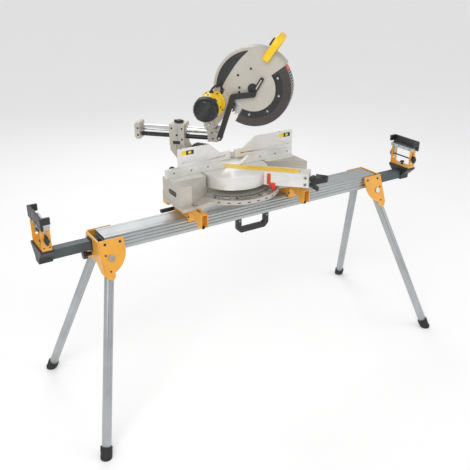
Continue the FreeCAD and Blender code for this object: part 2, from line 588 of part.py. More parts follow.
def make_support_bar(side, sign, x, y):
    """The silver bar on its two inner tabs, the clamp bolt with its wing knobs, and the flip-up stop."""
    # the bar's outboard face leaves room for the stop's hinge barrel
    low, high = (f"{x} - 20", f"{x} + 8") if sign > 0 else (f"{x} - 8", f"{x} + 20")
    bar = block((low, f"{y} - bar_half", "bar_low"), (high, f"{y} + bar_half", "bar_high"))
    tab_out, tab_in = "(frame_half - frame_wall - 0.4)", "(frame_half - frame_wall - 4.4)"
    tabs = [block((f"{x} - 7", f"{y} {a}", "knob_high - 12"), (f"{x} + 7", f"{y} {b}", "bar_low + 1"))
            for a, b in ((f"- {tab_out}", f"- {tab_in}"), (f"+ {tab_in}", f"+ {tab_out}"))]
    clamp_hole = rod(3.5, (x, f"{y} - frame_half", "knob_high"), "2*frame_half", ALONG_Y)
    hinge_x, hinge_z = f"({x} + {sign} * hinge_out)", "(bar_low + barrel_r + 0.5)"
    lugs = [block((f"{hinge_x} - 16", f"{y} {a}", "bar_low"), (f"{hinge_x} + 5", f"{y} {b}", "bar_high - 5"))
            if sign > 0 else
            block((f"{hinge_x} - 5", f"{y} {a}", "bar_low"), (f"{hinge_x} + 16", f"{y} {b}", "bar_high - 5"))
            for a, b in (("- 30", "- 22"), ("+ 22", "+ 30"))]
    pins = rod("hinge_pin", (hinge_x, f"{y} - 40", hinge_z), 80, ALONG_Y)
    node(f"support_bar_{side}", carve(join(bar, *tabs, *lugs, pins), clamp_hole))
    bolt = rod(3.5, (x, f"{y} - frame_half - 14", "knob_high"), "2*frame_half + 28", ALONG_Y)
    wings = []
    for low, high in ((f"{y} - frame_half - 20", f"{y} - frame_half - 0.5"),
                      (f"{y} + frame_half + 0.5", f"{y} + frame_half + 20")):
        wings.append(rod(10, (x, low, "knob_high"), f"({high})-({low})", ALONG_Y))
        wings.append(block((f"{x} - 5", f"{low} + 1", "knob_high - 17"), (f"{x} + 5", f"{high} - 1", "knob_high + 17")))
    node(f"support_knobs_{side}", join(bolt, *wings))
    panel_low, panel_high = f"{hinge_x} - barrel_r", f"{hinge_x} + barrel_r"
    panel = block((panel_low, f"{y} - stop_half", hinge_z), (panel_high, f"{y} + stop_half", "stop_high"))
    barrel = rod("barrel_r", (hinge_x, f"{y} - stop_half", hinge_z), "2*stop_half", ALONG_Y)
    ears = [block((f"{x} - 20", low, "bar_high + 8"), (f"{x} + 20", f"{low} + 10", "stop_high"))
            for low in (f"{y} - stop_half", f"{y} + stop_half - 10")]
    gaps = [block((f"{hinge_x} - 7", f"{y} {a}", "bar_low"), (f"{hinge_x} + 7", f"{y} {b}", "bar_high + 4"))
            for a, b in (("- 30.4", "- 21.6"), ("+ 21.6", "+ 30.4"))]
    pin_room = rod("hinge_pin + bolt_gap", (hinge_x, f"{y} - 40.5", hinge_z), 81, ALONG_Y)
    node(f"flip_stop_{side}", carve(join(panel, barrel, *ears), *gaps, pin_room))


def make_arm_lock_knob(side, sign):
    """A star knob whose screw goes through the end web below the tube."""
    y, z = f"{-sign} * tube_off", "tube_low - 24"
    screw = rod("4 - bolt_gap", (f"{sign} * (web_x - 2)", y, z), "12", (sign, 0, 0))
    neck = rod(9, (f"{sign} * (web_x + web_thick + 0.3)", y, z), "22", (sign, 0, 0))
    head = rod(15, (f"{sign} * (web_x + web_thick + 20)", y, z), "18", (sign, 0, 0))
    lobes = [rod(4.5, (f"{sign} * (web_x + web_thick + 20)", f"{y} + 14*cos({a})", f"{z} + 14*sin({a})"), "18",
                 (sign, 0, 0)) for a in range(0, 360, 60)]
    node(f"arm_lock_knob_{side}", join(screw, neck, head, *lobes))


# ---- saw: base, table and fences -----------------------------------------------------------------------

def make_saw_base():
    """A cast base: two wings that carry the fence, and a floor whose round front is the mitre scale."""
    left = [("-wing_in", "base_rear"), ("-base_half", "base_rear"), ("-base_half", "wing_front"),
            ("-base_half + 55", "wing_front"), ("-wing_in", "-46")]
    right = [("wing_in", "base_rear"), ("wing_in", "-17"), ("base_half", "wing_front"),
             ("base_half", "base_rear")]
    wings = [plate(points, "XY_Plane", "-base_high", 0) for points in (left, right)]
    disc = rod("scale_r", (0, 0, "-base_high"), "base_high + floor_top")
    floor = keep(disc, block(("-scale_r", "-scale_r", "-base_high"), ("scale_r", "base_rear", "floor_top")))
    flange = plate([("-base_half - 2", "base_rear"), ("-base_half - 2", "wing_front - 26"),
                    ("-base_half + 60", "wing_front - 26"), ("-wing_in", "-120"), ("wing_in", "-120"),
                    ("base_half - 30", "wing_front - 22"), ("base_half + 2", "wing_front - 22"),
                    ("base_half + 2", "base_rear")], "XY_Plane", "-base_high", "-base_high + 14")
    pockets = [block(("-base_half + 12", "-40", "-base_high + 14"), ("-wing_in - 10", "base_rear + 1", "-12")),
               block(("wing_in + 63", "-45", "-base_high + 14"), ("base_half - 12", "base_rear + 1", "-12"))]
    holes = [rod(9, (f"{x} * (base_half - 85)", "-20", "-base_high - 1"), "base_high + 2") for x in (-1, 1)]
    mounting = [rod("5", (f"bracket_{side} - saw_x", y, "-base_high - 1"), "20")
                for side in SIDES for y in ("20", "-130")]
    well = rod("table_r + 2", (0, 0, "floor_top + 0.001"), "base_high")
    saw_node("saw_base", carve(join(*wings, floor, flange), well, *pockets, *holes, *mounting))


def make_fixed_fence():
    """The low fence: two halves with sloping inner ends, joined by a bow behind the turntable's middle."""
    left = plate([("-base_half", 0), ("-30", 0), ("-70", "fence_low"), ("-base_half", "fence_low")],
                 "XZ_Plane", 0, "fence_deep")
    right = plate([("base_half", 0), ("36", 0), ("94", "fence_low"), ("base_half", "fence_low")],
                  "XZ_Plane", 0, "fence_deep")
    ring = carve(rod("bow_out", (0, 0, 1), 27), rod("bow_in", (0, 0, 0), 30))
    bow = keep(ring, block(("-bow_out", 10, 0), ("bow_out", "bow_out", 40)))
    relief = block(("-wing_in + 2", -1, -1), ("wing_in - 2", "fence_deep + 1", "0.6"))
    saw_node("fixed_fence", carve(join(left, right, bow), relief))


def make_sliding_fences():
    base, step, top, gap = "fence_low + 0.3", "fence_step", "fence_top", "fence_gap"
    left = [("fence_left_out", base), (f"-{gap}", base), (f"-{gap}", step), (f"-{gap} - 55", step),
            (f"-{gap} - 107", top), ("fence_left_out", top)]
    right = [("fence_right_out", base), ("fence_right_out", top), (f"{gap} + 108", top),
             (f"{gap} + 50", f"{step} + 4"), (f"{gap} + 50", step), (gap, step), (gap, base)]
    for side, points, out in (("left", left, "fence_left_out + 22"), ("right", right, "fence_right_out - 22")):
        holes = [(out, f"{base} + 22", 3), (f"{'-' if side == 'left' else ''}(fence_gap + 28)", f"{base} + 22", 3)]
        face = plate(points, "XZ_Plane", 0, "fence_thick", holes)
        sign = SIDES[side]
        low, high = (out, f"-{gap} - 120") if sign < 0 else (f"{gap} + 120", out)
        rib = block((low, "fence_thick - 1", base), (high, "fence_deep", f"{base} + 12"))
        saw_node(f"fence_{side}", join(face, rib))


def make_turntable():
    """The round table and its arm, with a recess and a trough for the kerf plates, and the bevel bracket."""
    disc = rod("table_r", (0, 0, "table_low"), "-(table_low)")
    arm = arm_block(("-arm_half", "arm_half"), (100, "arm_out"), ("arm_low", 0))
    pivot = rod(60, (0, 0, "floor_top + 0.3"), "table_low - floor_top + 1")
    neck = arm_block((-36, 36), ("bevel_face + 12", -140), ("table_low", -2))
    hub = arm_rod("hub_r", 0, 0, "bevel_face + 14", "bevel_face + 0.3")
    hub_low = keep(hub, arm_block(("-hub_r", "hub_r"), ("bevel_face", "bevel_face + 20"), ("-hub_r", 40)))
    kerf = kerf_shape("kerf_half + 0.3", "-kerf_thick - 0.1", 1)
    trough = arm_block((-12, 12), (-100, "kerf_out"), (-20, 1))
    under = arm_block(("-arm_half + 6", "arm_half - 6"), (170, "arm_out - 10"), ("arm_low - 1", -22))
    bore = arm_rod(9.05, 0, 0, "bevel_face + 20", "bevel_face")
    arm_node("turntable", carve(join(disc, arm, pivot, neck, hub_low), kerf, trough, under, bore))
    plates = carve(kerf_shape("kerf_half", "-kerf_thick", 0), arm_block(("-kerf_slot", "kerf_slot"),
                                                                      (-96, "kerf_out + 10"), (-10, 1)))
    arm_node("kerf_plates", plates)


def kerf_shape(half, low, high):
    """A strip along the table's arm with a round front end."""
    strip = arm_block((f"-({half})", half), (-104, "kerf_out - kerf_half"), (low, high))
    end = rod(half, (0, "-(kerf_out - kerf_half)", low), f"({high})-({low})")
    return join(strip, end)


def make_table_fittings():
    pointer = join(arm_block(("-arm_half - 4", "-arm_half"), (168, 184), (-56, -8)),
                   arm_block(("-arm_half - 4", "-arm_half"), (176, 206), (-66, -50)),
                   arm_block(("-arm_half - 4", "-arm_half + 6"), (192, 206), ("floor_top + 2", -62)))
    arm_node("mitre_pointer", pointer)
    stem = cross_rod(14, "arm_out + 15", -32, -15, 15)
    paddle = side_plate([("arm_out + 26", -16), ("arm_out + 80", -20), ("arm_out + 82", -32),
                         ("arm_out + 30", -48), ("arm_out + 20", -44)], -28, 28)
    arm_node("mitre_lock_handle", join(stem, paddle))
    latch = side_plate([("arm_out + 8", -52), ("arm_out + 18", -56), ("arm_out + 44", -76),
                        ("arm_out + 40", -84), ("arm_out + 8", -66)], -16, 16)
    arm_node("mitre_latch", join(latch, cross_rod(7, "arm_out + 8", -59, -16, 16)))


# ---- saw: bevel column, slide and carriage -------------------------------------------------------------

def make_bevel_column():
    """The tilting column: a round hub on the table's level, a neck, and a head bored for the rails."""
    hub = arm_rod("hub_r", 0, 0, "bevel_face", "bevel_face - 24")
    pin = arm_rod(9, 0, 0, "bevel_face + 14", "bevel_face")
    neck = side_plate([("bevel_face", 0), ("bevel_face", 60), ("column_front", 96), ("column_front", 100),
                       ("column_rear", 100), ("column_rear", 70), ("bevel_face - 24", -20)],
                      "-column_half + 6", "column_half - 6")
    head = arm_block(("-column_half", "column_half"), ("column_rear", "column_front"), (96, "column_top"))
    bores = [arm_rod("rail_r + rail_gap", 0, "rail_high", "column_front + 9", "column_rear - 9"),
             arm_rod("rail_low_r + rail_gap", 0, "rail_low", "column_front + 9", "column_rear - 9")]
    knob_hole = rod(6, (0, "-(column_front + column_rear)/2", "rail_high + 14"), 30)
    bush = arm_rod("rail_r + 8", 0, "rail_high", "column_front + 7", "column_front - 1")
    arm_node("bevel_column", carve(join(hub, pin, neck, head, bush), *bores, knob_hole))
    knob = join(rod(5.95, (0, "-(column_front + column_rear)/2", "rail_high + 16"), "column_top - rail_high - 10"),
                rod(14, (0, "-(column_front + column_rear)/2", "column_top + 0.5"), 12),
                arm_block((-5, 5), ("(column_front + column_rear)/2 - 21", "(column_front + column_rear)/2 + 21"),
                          ("column_top + 1", "column_top + 12")))
    arm_node("rail_lock_knob", knob)
    boot = side_plate([("bevel_face", 62), ("bevel_face + 42", 50), ("bevel_face + 46", 66), (-122, 66),
                       (-118, 74), (-122, 92), ("bevel_face + 20", 96), ("bevel_face", 88)], -24, 24)
    arm_node("dust_boot", boot)


def make_slide():
    """The two rails, the brace at their rear and the carriage at their front."""
    rails = [("slide_rail", "rail_r", "rail_high"), ("slide_tube", "rail_low_r", "rail_low")]
    for name, radius, up in rails:
        arm_node(name, arm_rod(radius, 0, up, "carriage_front - 10", "rail_rear + 4"))
    sockets = [arm_rod(radius, 0, up, "brace_front + 1", "rail_rear + 4") for _, radius, up in rails]
    brace = arm_block((-34, 34), ("rail_rear", "brace_front"), ("rail_low - 18", "rail_high + 26"))
    ribs = [arm_block((x, x + 7), ("rail_rear - 6", "rail_rear + 4"), ("rail_low - 12", "rail_high + 20"))
            for x in (-32, -13, 6, 25)]
    arm_node("rail_end_brace", carve(join(brace, *ribs), *sockets))
    body = arm_block(("-carriage_half", "carriage_half"), ("carriage_rear", "carriage_front"), (152, 178))
    keel = arm_block((-16, 16), ("carriage_rear", "carriage_front"), (114, 153))
    boss = cross_rod("hinge_r", "pivot_fwd", "pivot_up", "-carriage_half", "carriage_half")
    cheek = arm_block(("-carriage_half", "carriage_half"), ("carriage_rear", "pivot_fwd + 18"), (176, "pivot_up"))
    sockets = [arm_rod(radius, 0, up, "carriage_front - 10", "carriage_rear - 1") for _, radius, up in rails]
    bore = cross_rod("pin_r + bolt_gap", "pivot_fwd", "pivot_up", -60, 60)
    lug = cross_rod(11, "link_fwd", "link_up", "-carriage_half - 12", "-carriage_half + 4")
    lug_arm = arm_block(("-carriage_half - 12", "-carriage_half + 8"), ("carriage_front - 8", "link_fwd + 9"),
                        (152, 166))
    lug_drop = arm_block(("-carriage_half - 12", "-carriage_half"), ("link_fwd - 9", "link_fwd + 9"), (146, 166))
    stud = cross_rod(5, "link_fwd", "link_up", "-66", "-carriage_half - 10")
    arm_node("slide_carriage", carve(join(body, keel, boss, cheek, lug, lug_arm, lug_drop, stud), bore, *sockets))


# ---- saw: head -----------------------------------------------------------------------------------------

def make_upper_guard():
    """The cast upper guard with the arm that carries it on the chop hinge."""
    arbor = ("arbor_fwd", "arbor_up")
    outer = sector("guard_r", *arbor, "-guard_half", "guard_half", "guard_from", "guard_sweep")
    inner = sector("guard_r - guard_wall", *arbor, "-guard_half + guard_wall", "guard_half - guard_wall",
                   "guard_from - 3", "guard_sweep + 6")
    arm = side_plate([("pivot_fwd - 10", "pivot_up + 24"), ("pivot_fwd + 20", "pivot_up - 18"),
                      (-16, 262), (-4, 330), (-40, 376), (-78, 352), ("pivot_fwd - 24", 300)],
                     "-guard_half - 8", "guard_half + 8")
    ears = cross_rod("hinge_r", "pivot_fwd", "pivot_up", "-guard_half - 8", "guard_half + 8")
    blade_room = cross_rod("guard_r - guard_wall", *arbor, "-guard_half + guard_wall", "guard_half - guard_wall")
    ear_room = cross_rod("hinge_r + 4", "pivot_fwd", "pivot_up", "-carriage_half - 1", "carriage_half + 1")
    sweep_room = arm_block(("-carriage_half - 1", "carriage_half + 1"), (-130, -42), (160, 236))
    shaft_room = cross_rod(7.05, "motor_fwd", "motor_up", -60, 60)
    shell = carve(outer, inner)
    arm_part = carve(join(arm, ears), blade_room, ear_room, sweep_room)
    boss = cross_rod(29.7, *arbor, 37, 47)
    boss_rib = cross_rod(48, *arbor, "guard_half - guard_wall", "guard_half + 4")
    bore = cross_rod("arbor_r + 0.3", *arbor, 20, 60)
    cover = carve(cross_rod("cover_r", *arbor, "-guard_half", "-guard_half + guard_wall"),
                  cross_rod(22, *arbor, -50, -30))
    pin = cross_rod("pin_r", "pivot_fwd", "pivot_up", -56, 56)
    body = join(shell, arm_part, boss, boss_rib, cover, pin)
    arm_node("upper_guard", carve(body, shaft_room, bore))


def make_blade_and_guard():
    arbor = ("arbor_fwd", "arbor_up")
    blade = carve(cross_rod("blade_r", *arbor, "-blade_thick/2", "blade_thick/2"),
                  cross_rod("arbor_r", *arbor, -5, 5))
    arm_node("saw_blade", blade)
    flanges = [cross_rod(30, *arbor, "blade_thick/2", 9), cross_rod(26, *arbor, -9, "-blade_thick/2")]
    shaft = [cross_rod("arbor_r", *arbor, -20, 64), cross_rod(20, *arbor, 49, 63)]
    bolt = cross_rod(9, *arbor, -28, -19)
    arm_node("arbor", join(*flanges, *shaft, bolt))
    make_lower_guard(arbor)


def make_lower_guard(arbor):
    """A slotted rim between two walls, which turns round the arbor's boss on its right wall."""
    half, wall, rim = "low_guard_half", "3", "8"
    full = sector("low_guard_r", *arbor, f"-{half}", half, "low_guard_from", "low_guard_sweep")
    room = cross_rod(f"low_guard_r - {rim}", *arbor, f"-{half} + {wall}", f"{half} - {wall}")
    mouth = cross_rod("low_guard_in", *arbor, f"-{half} - 1", f"{half} - {wall}")
    right_hub = cross_rod("low_guard_in + 2", *arbor, f"{half} - {wall}", half)
    bore = cross_rod("low_guard_hub", *arbor, 0, 60)
    slots = []
    for k in range(SLOTS_IN_GUARD):
        share = (k + 1) / (SLOTS_IN_GUARD + 2)
        angle = math.radians(size("low_guard_from") + share * size("low_guard_sweep"))
        slot = doc.addObject("Part::Box", "Slot")
        bind(slot, Length="2*20", Width="5", Height="30")
        slot.Placement.Rotation = FreeCAD.Rotation(Vector(1, 0, 0), 90 - math.degrees(angle))
        middle = Vector(0, -math.cos(angle), math.sin(angle)) * (size("low_guard_r") - 15)
        side = Vector(0, math.sin(angle), math.cos(angle)) * 2.5
        move(slot, -20, f"-arbor_fwd + ({middle.y - side.y})", f"arbor_up + ({middle.z - side.z})")
        slots.append(slot)
    arm_node("lower_guard", carve(join(carve(full, room, mouth), right_hub), bore, *slots))


def make_motor():
    """The motor across the rear of the head: housing, vented cap, armature, and the belt drive on the right."""
    motor, arbor = ("motor_fwd", "motor_up"), ("arbor_fwd", "arbor_up")
    housing = join(cross_rod("motor_r", *motor, "motor_mid", "motor_in - 6"),
                   cross_rod("motor_r + 4", *motor, "motor_in - 18", "motor_in - 5.3"))
    room = cross_rod("motor_r - 4", *motor, "motor_mid - 1", "motor_in - 16")
    shaft_hole = cross_rod(9, *motor, -70, -40)
    arm_node("motor_housing", carve(housing, room, shaft_hole))
    cap = join(cross_rod("motor_r - 1", *motor, "motor_out + 14", "motor_mid"),
               cross_rod("motor_r - 9", *motor, "motor_out", "motor_out + 16"))
    cap_room = cross_rod("motor_r - 12", *motor, "motor_out + 20", "motor_mid + 1")
    arm_node("motor_cap", carve(cap, cap_room))
    rotor = [cross_rod(34, *motor, "motor_mid + 20", "motor_in - 30"), cross_rod(7, *motor, "motor_mid + 6", 63),
             cross_rod(14, *motor, 52, 62)]
    arm_node("armature", join(*rotor))
    chain = [motor, arbor]
    cover = carve(slot_shape(chain, "38", "guard_half + 8", 70), slot_shape(chain, "34", "guard_half + 7", 66),
                  cross_rod(48.5, *arbor, 40, "guard_half + 8.4"))
    arm_node("belt_cover", cover)
    arm_node("drive_belt", carve(slot_shape(chain, "23", 53, 61), slot_shape(chain, "20.6", 52, 62)))


def make_handle():
    """A closed loop over the guard, wide across the saw, sloping up and forward, with the trigger inside."""
    long, wide = "grip_long", "grip_half"
    outer = [(f"-{wide}", 0), (wide, 0), (wide, f"{long} - 26"), (f"{wide} - 22", long),
             (f"-{wide} + 22", long), (f"-{wide}", f"{long} - 26")]
    inner = [(f"-{wide} + 28", 34), (f"{wide} - 28", 34), (f"{wide} - 28", f"{long} - 44"),
             (f"{wide} - 38", f"{long} - 34"), (f"-{wide} + 38", f"{long} - 34"), (f"-{wide} + 28", f"{long} - 44")]
    loop = carve(plate(outer, "XZ_Plane", "-grip_thick/2", "grip_thick/2"),
                 plate(inner, "XZ_Plane", "-grip_thick/2 - 1", "grip_thick/2 + 1"))
    move(loop, 0, "-grip_fwd", "grip_up")
    turn(loop, ALONG_X, "90 - grip_slope")
    guard = cross_rod("guard_r", "arbor_fwd", "arbor_up", "-guard_half", "guard_half")
    arm_node("d_handle", carve(loop, guard))
    paddle = plate([(-9, 52), (9, 52), (11, f"{long} - 36"), (-11, f"{long} - 36")], "XZ_Plane", -13, 13)
    move(paddle, 0, "-grip_fwd", "grip_up")
    turn(paddle, ALONG_X, "90 - grip_slope")
    arm_node("trigger", paddle)


def make_guard_link():
    """The black bent arm from the carriage to the lower guard's slotted lever."""
    chain = [("link_fwd", "link_up"), (15, 333), (103, 346)]
    link = carve(slot_shape(chain, "link_r", -62, -54), cross_rod("5 + bolt_gap", *chain[0], -70, -50))
    arm_node("guard_link", link)


# ---- build, test and write -----------------------------------------------------------------------------

make_beam()
make_tubes()
make_carry_handle()
make_legs()
for which, direction in SIDES.items():
    make_end_bracket(which, direction)
    make_saw_bracket(which, f"bracket_{which}")
    make_support(which, direction)
    make_arm_lock_knob(which, direction)
make_saw_base()
make_fixed_fence()
make_sliding_fences()
make_turntable()
make_table_fittings()
make_bevel_column()
make_slide()
make_upper_guard()
make_blade_and_guard()
make_motor()
make_handle()
make_guard_link()
doc.recompute()

broken = [thing.Label for thing in doc.Objects if {"Invalid", "Error"} & set(thing.State)]
for label, thing in nodes.items():
    if thing.Shape.isNull() or not thing.Shape.isValid() or not thing.Shape.Solids:
        broken.append(label)
if broken:
    raise RuntimeError(f"these did not build: {sorted(set(broken))}")

os.makedirs("parts", exist_ok=True)
for label, thing in nodes.items():
    thing.Shape.exportStep(f"parts/{label}.step")
print(f"{len(nodes)} sub-parts written")
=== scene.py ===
"""Looks for a sliding compound mitre saw on a folding leg stand.

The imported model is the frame. This script rounds and finishes its pieces, and adds the detail that is only
looked at: blade teeth, guard ribs, screws, rivets, scales, plain stickers, vents and pads. Lengths written
with MM are millimetres; the arm frame has lateral, forward and up, and turns with the saw's table.
"""
import json
import math

import bmesh
import bpy
from mathutils import Matrix, Vector


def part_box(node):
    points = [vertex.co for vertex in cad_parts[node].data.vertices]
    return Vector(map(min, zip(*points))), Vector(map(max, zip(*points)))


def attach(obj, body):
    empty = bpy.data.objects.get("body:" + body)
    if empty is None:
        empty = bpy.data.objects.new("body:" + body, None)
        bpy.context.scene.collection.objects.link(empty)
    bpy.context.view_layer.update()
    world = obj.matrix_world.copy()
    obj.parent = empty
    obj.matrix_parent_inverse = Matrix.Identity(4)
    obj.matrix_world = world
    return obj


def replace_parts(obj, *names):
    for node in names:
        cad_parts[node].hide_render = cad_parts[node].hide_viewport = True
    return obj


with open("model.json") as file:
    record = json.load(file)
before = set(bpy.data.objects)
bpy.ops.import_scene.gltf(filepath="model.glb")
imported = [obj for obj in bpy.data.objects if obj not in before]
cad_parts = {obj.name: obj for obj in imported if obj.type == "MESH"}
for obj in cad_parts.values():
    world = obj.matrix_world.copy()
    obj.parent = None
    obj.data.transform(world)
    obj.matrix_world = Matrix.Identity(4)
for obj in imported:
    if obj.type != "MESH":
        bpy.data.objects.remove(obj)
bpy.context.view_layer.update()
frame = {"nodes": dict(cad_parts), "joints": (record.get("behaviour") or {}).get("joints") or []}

MM = 0.001
NODES = frame["nodes"]
JOINTS = {joint["name"]: joint for joint in frame["joints"]}
SIDES = {"left": -1, "right": 1}
ENDS = {"front": -1, "rear": 1}
UP = Vector((0, 0, 1))
X_AXIS, Y_AXIS = Vector((1, 0, 0)), Vector((0, 1, 0))


# ---- places ----

def joint_place(name):
    return Vector(JOINTS[name]["pos_m"])


def joint_axis(name):
    return Vector(JOINTS[name]["axis"]).normalized()


def axes_at(place, z_axis, x_axis):
    """A millimetre frame at a place, from its Z and X directions."""
    z = Vector(z_axis).normalized()
    x = (Vector(x_axis) - z * z.dot(x_axis)).normalized()
    y = z.cross(x)
    turned = Matrix((x, y, z)).transposed().to_4x4()
    return Matrix.Translation(place) @ turned @ Matrix.Scale(MM, 4)


LATERAL = joint_axis("chop")
FORWARD = -joint_axis("head_slide")
TABLE_TOP = joint_place("mitre")
ARM = axes_at(TABLE_TOP, UP, LATERAL)
SAW = axes_at(TABLE_TOP, UP, X_AXIS)
ARBOR = joint_place("blade_spin")
MOTOR = joint_place("armature_spin")


def arm(lateral, forward, up):
    return ARM @ Vector((lateral, -forward, up))


def in_arm(place):
    """A world place as lateral, forward and up, in millimetres."""
    local = ARM.inverted() @ place
    return local.x, -local.y, local.z


def middle(name):
    low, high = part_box(name)
    return (low + high) / 2


def left_face(place):
    """A frame on the head's left side: X forward, Y up, and Z out to the left."""
    return axes_at(place, -LATERAL, FORWARD)


def polar(radius, degrees):
    return radius * math.cos(math.radians(degrees)), radius * math.sin(math.radians(degrees))


def spun(spot, degrees):
    return spot @ Matrix.Rotation(math.radians(degrees), 4, "Z")


def spot_on(spot, radius, degrees, height):
    """A frame moved out to a radius and angle about its own Z, and up."""
    return spot @ Matrix.Translation((*polar(radius, degrees), height))


# ---- materials ----

MATERIALS = {}


class Graph:
    """A node tree under construction."""

    def __init__(self, name):
        self.name = name
        self.material = bpy.data.materials.new(name)
        self.material.use_nodes = True
        self.tree = self.material.node_tree
        self.shader = self.tree.nodes["Principled BSDF"]
        self.place = self.add("ShaderNodeTexCoord").outputs["Object"]

    def add(self, kind, inputs=None, **settings):
        node = self.tree.nodes.new(kind)
        for key, value in settings.items():
            setattr(node, key, value)
        for key, value in (inputs or {}).items():
            self.feed(node.inputs[key], value)
        return node

    def feed(self, socket, value):
        if isinstance(value, bpy.types.NodeSocket):
            self.tree.links.new(value, socket)
        else:
            socket.default_value = value

    def noise(self, scale, detail=3.0, stretch=(1, 1, 1), rough=0.55):
        mapping = self.add("ShaderNodeMapping", {"Vector": self.place, "Scale": stretch})
        texture = self.add("ShaderNodeTexNoise", {"Vector": mapping.outputs[0], "Scale": scale,
                                                  "Detail": detail, "Roughness": rough})
        return texture.outputs["Fac"]

    def spread(self, value, low, high, start=0.3, end=0.7):
        """Map a texture's middle range to low..high."""
        node = self.add("ShaderNodeMapRange", {"Value": value, "From Min": start, "From Max": end,
                                               "To Min": low, "To Max": high})
        return node.outputs[0]

    def blend(self, factor, first, second):
        node = self.add("ShaderNodeMix", {0: factor, 6: first, 7: second}, data_type="RGBA")
        return node.outputs[2]

    def edges(self, reach):
        """1 along convex and concave edges within reach, in metres, and 0 on open faces."""
        rounded = self.add("ShaderNodeBevel", {"Radius": reach}, samples=4)
        true = self.add("ShaderNodeNewGeometry")
        dot = self.add("ShaderNodeVectorMath", {0: rounded.outputs[0], 1: true.outputs["Normal"]},
                       operation="DOT_PRODUCT")
        return self.spread(dot.outputs["Value"], 1.0, 0.0, 0.80, 0.995)

    def times(self, first, second):
        node = self.add("ShaderNodeMath", {0: first, 1: second}, operation="MULTIPLY")
        return node.outputs[0]

    def out(self, colour, rough, height=None, depth=0.0002, strength=0.35, **fixed):
        links = self.tree.links
        links.new(colour, self.shader.inputs["Base Color"])
        links.new(rough, self.shader.inputs["Roughness"])
        if height is not None:
            bump = self.add("ShaderNodeBump", {"Height": height, "Strength": strength, "Distance": depth})
            links.new(bump.outputs[0], self.shader.inputs["Normal"])
        for socket, value in fixed.items():
            self.shader.inputs[socket.replace("_", " ")].default_value = value
        MATERIALS[self.name] = self.material
        return self.material


def shade(colour, factor):
    return tuple(min(1.0, c * factor) for c in colour[:3]) + (1.0,)


def finish_of(name, colour, rough, vary=0.10, patch=9, grain=900, grain_depth=0.00012, strength=0.3,
              stretch=(1, 1, 1), worn=None, wear=0.5, reach=0.0012, dirt=0.12, **fixed):
    """A finish with slow colour drift, fine grain, grime, and wear along its edges."""
    graph = Graph(name)
    drift = graph.spread(graph.noise(patch), 0, 1)
    base = graph.blend(drift, shade(colour, 1 - vary), shade(colour, 1 + vary))
    grime = graph.spread(graph.noise(patch * 2.7, 6), 0, dirt, 0.5, 0.75)
    base = graph.blend(grime, base, shade(colour, 0.35))
    grain_value = graph.noise(grain, 2, stretch)
    fine = graph.spread(grain_value, 1 - vary, 1 + vary * 0.4)
    base = graph.blend(graph.spread(grain_value, 0, vary), base, shade(colour, 1.25))
    if worn is not None:
        rubbed = graph.times(graph.edges(reach), graph.spread(graph.noise(55, 4), 0, wear, 0.42, 0.6))
        base = graph.blend(rubbed, base, tuple(worn) + (1.0,))
    roughness = graph.times(fine, graph.spread(graph.noise(patch * 1.9, 4), rough * 0.82, rough * 1.18))
    graph.out(base, roughness, grain_value, grain_depth, strength, **fixed)


def rings_of(name, colour, rough, centre, pitch, depth, **fixed):
    """A turned or ground metal whose fine marks run in circles about a centre."""
    graph = Graph(name)
    away = graph.add("ShaderNodeVectorMath", {0: graph.place, 1: tuple(centre)}, operation="DISTANCE")
    bands = {"W": away.outputs["Value"], "Scale": 1 / pitch, "Detail": 4.0}
    marks = graph.add("ShaderNodeTexNoise", bands, noise_dimensions="1D").outputs["Fac"]
    drift = graph.spread(graph.noise(14), 0.0, 1.0)
    base = graph.blend(drift, shade(colour, 0.88), shade(colour, 1.08))
    base = graph.blend(graph.spread(marks, 0, 0.5), base, shade(colour, 0.7))
    patches = graph.spread(graph.noise(30), rough * 0.85, rough * 1.15)
    graph.out(base, graph.times(graph.spread(marks, 0.8, 1.25), patches), marks, depth, 0.25, **fixed)


ALONG_BEAM, DOWN_LEG, BARE_METAL = (0.04, 1, 1), (1, 1, 0.06), (0.62, 0.63, 0.62)
finish_of("beam", (0.47, 0.49, 0.495), 0.38, 0.06, 5, 700, 0.00005, stretch=ALONG_BEAM, Metallic=0.7,
          worn=(0.75, 0.76, 0.76))
finish_of("tubes", (0.060, 0.082, 0.086), 0.42, 0.14, 9, 1400, worn=(0.28, 0.30, 0.30), wear=0.5)
finish_of("leg_tube", (0.43, 0.455, 0.465), 0.42, 0.10, 7, 800, stretch=DOWN_LEG, Metallic=0.55,
          worn=(0.7, 0.7, 0.7))
finish_of("stand_yellow", (0.83, 0.39, 0.045), 0.40, 0.08, 8, 1500, 0.0002, worn=(0.92, 0.60, 0.22),
          wear=0.55, Coat_Weight=0.15)
finish_of("black_plastic", (0.022, 0.022, 0.024), 0.46, 0.2, 12, 1800, 0.00018, worn=(0.10, 0.10, 0.10),
          wear=0.6)
finish_of("rubber", (0.020, 0.020, 0.021), 0.72, 0.25, 15, 1200, 0.0003, 0.5, worn=(0.07, 0.07, 0.07))
finish_of("zinc", (0.58, 0.57, 0.53), 0.32, 0.12, 30, 1500, Metallic=1.0, worn=BARE_METAL)
finish_of("silver_bar", (0.50, 0.52, 0.51), 0.36, 0.12, 9, 900, stretch=(1, 0.05, 1), Metallic=0.8,
          worn=(0.8, 0.8, 0.8))
finish_of("casting", (0.545, 0.515, 0.455), 0.44, 0.06, 7, 1100, 0.0003, 0.45, worn=(0.72, 0.70, 0.66),
          wear=0.5, Metallic=0.25)
finish_of("bright_table", (0.77, 0.76, 0.735), 0.34, 0.07, 6, 1000, stretch=(0.05, 1, 1), Metallic=0.45,
          worn=(0.88, 0.88, 0.86))
finish_of("saw_yellow", (0.96, 0.60, 0.006), 0.36, 0.05, 9, 1700, 0.00016, worn=(1.0, 0.76, 0.20),
          wear=0.4, Coat_Weight=0.2)
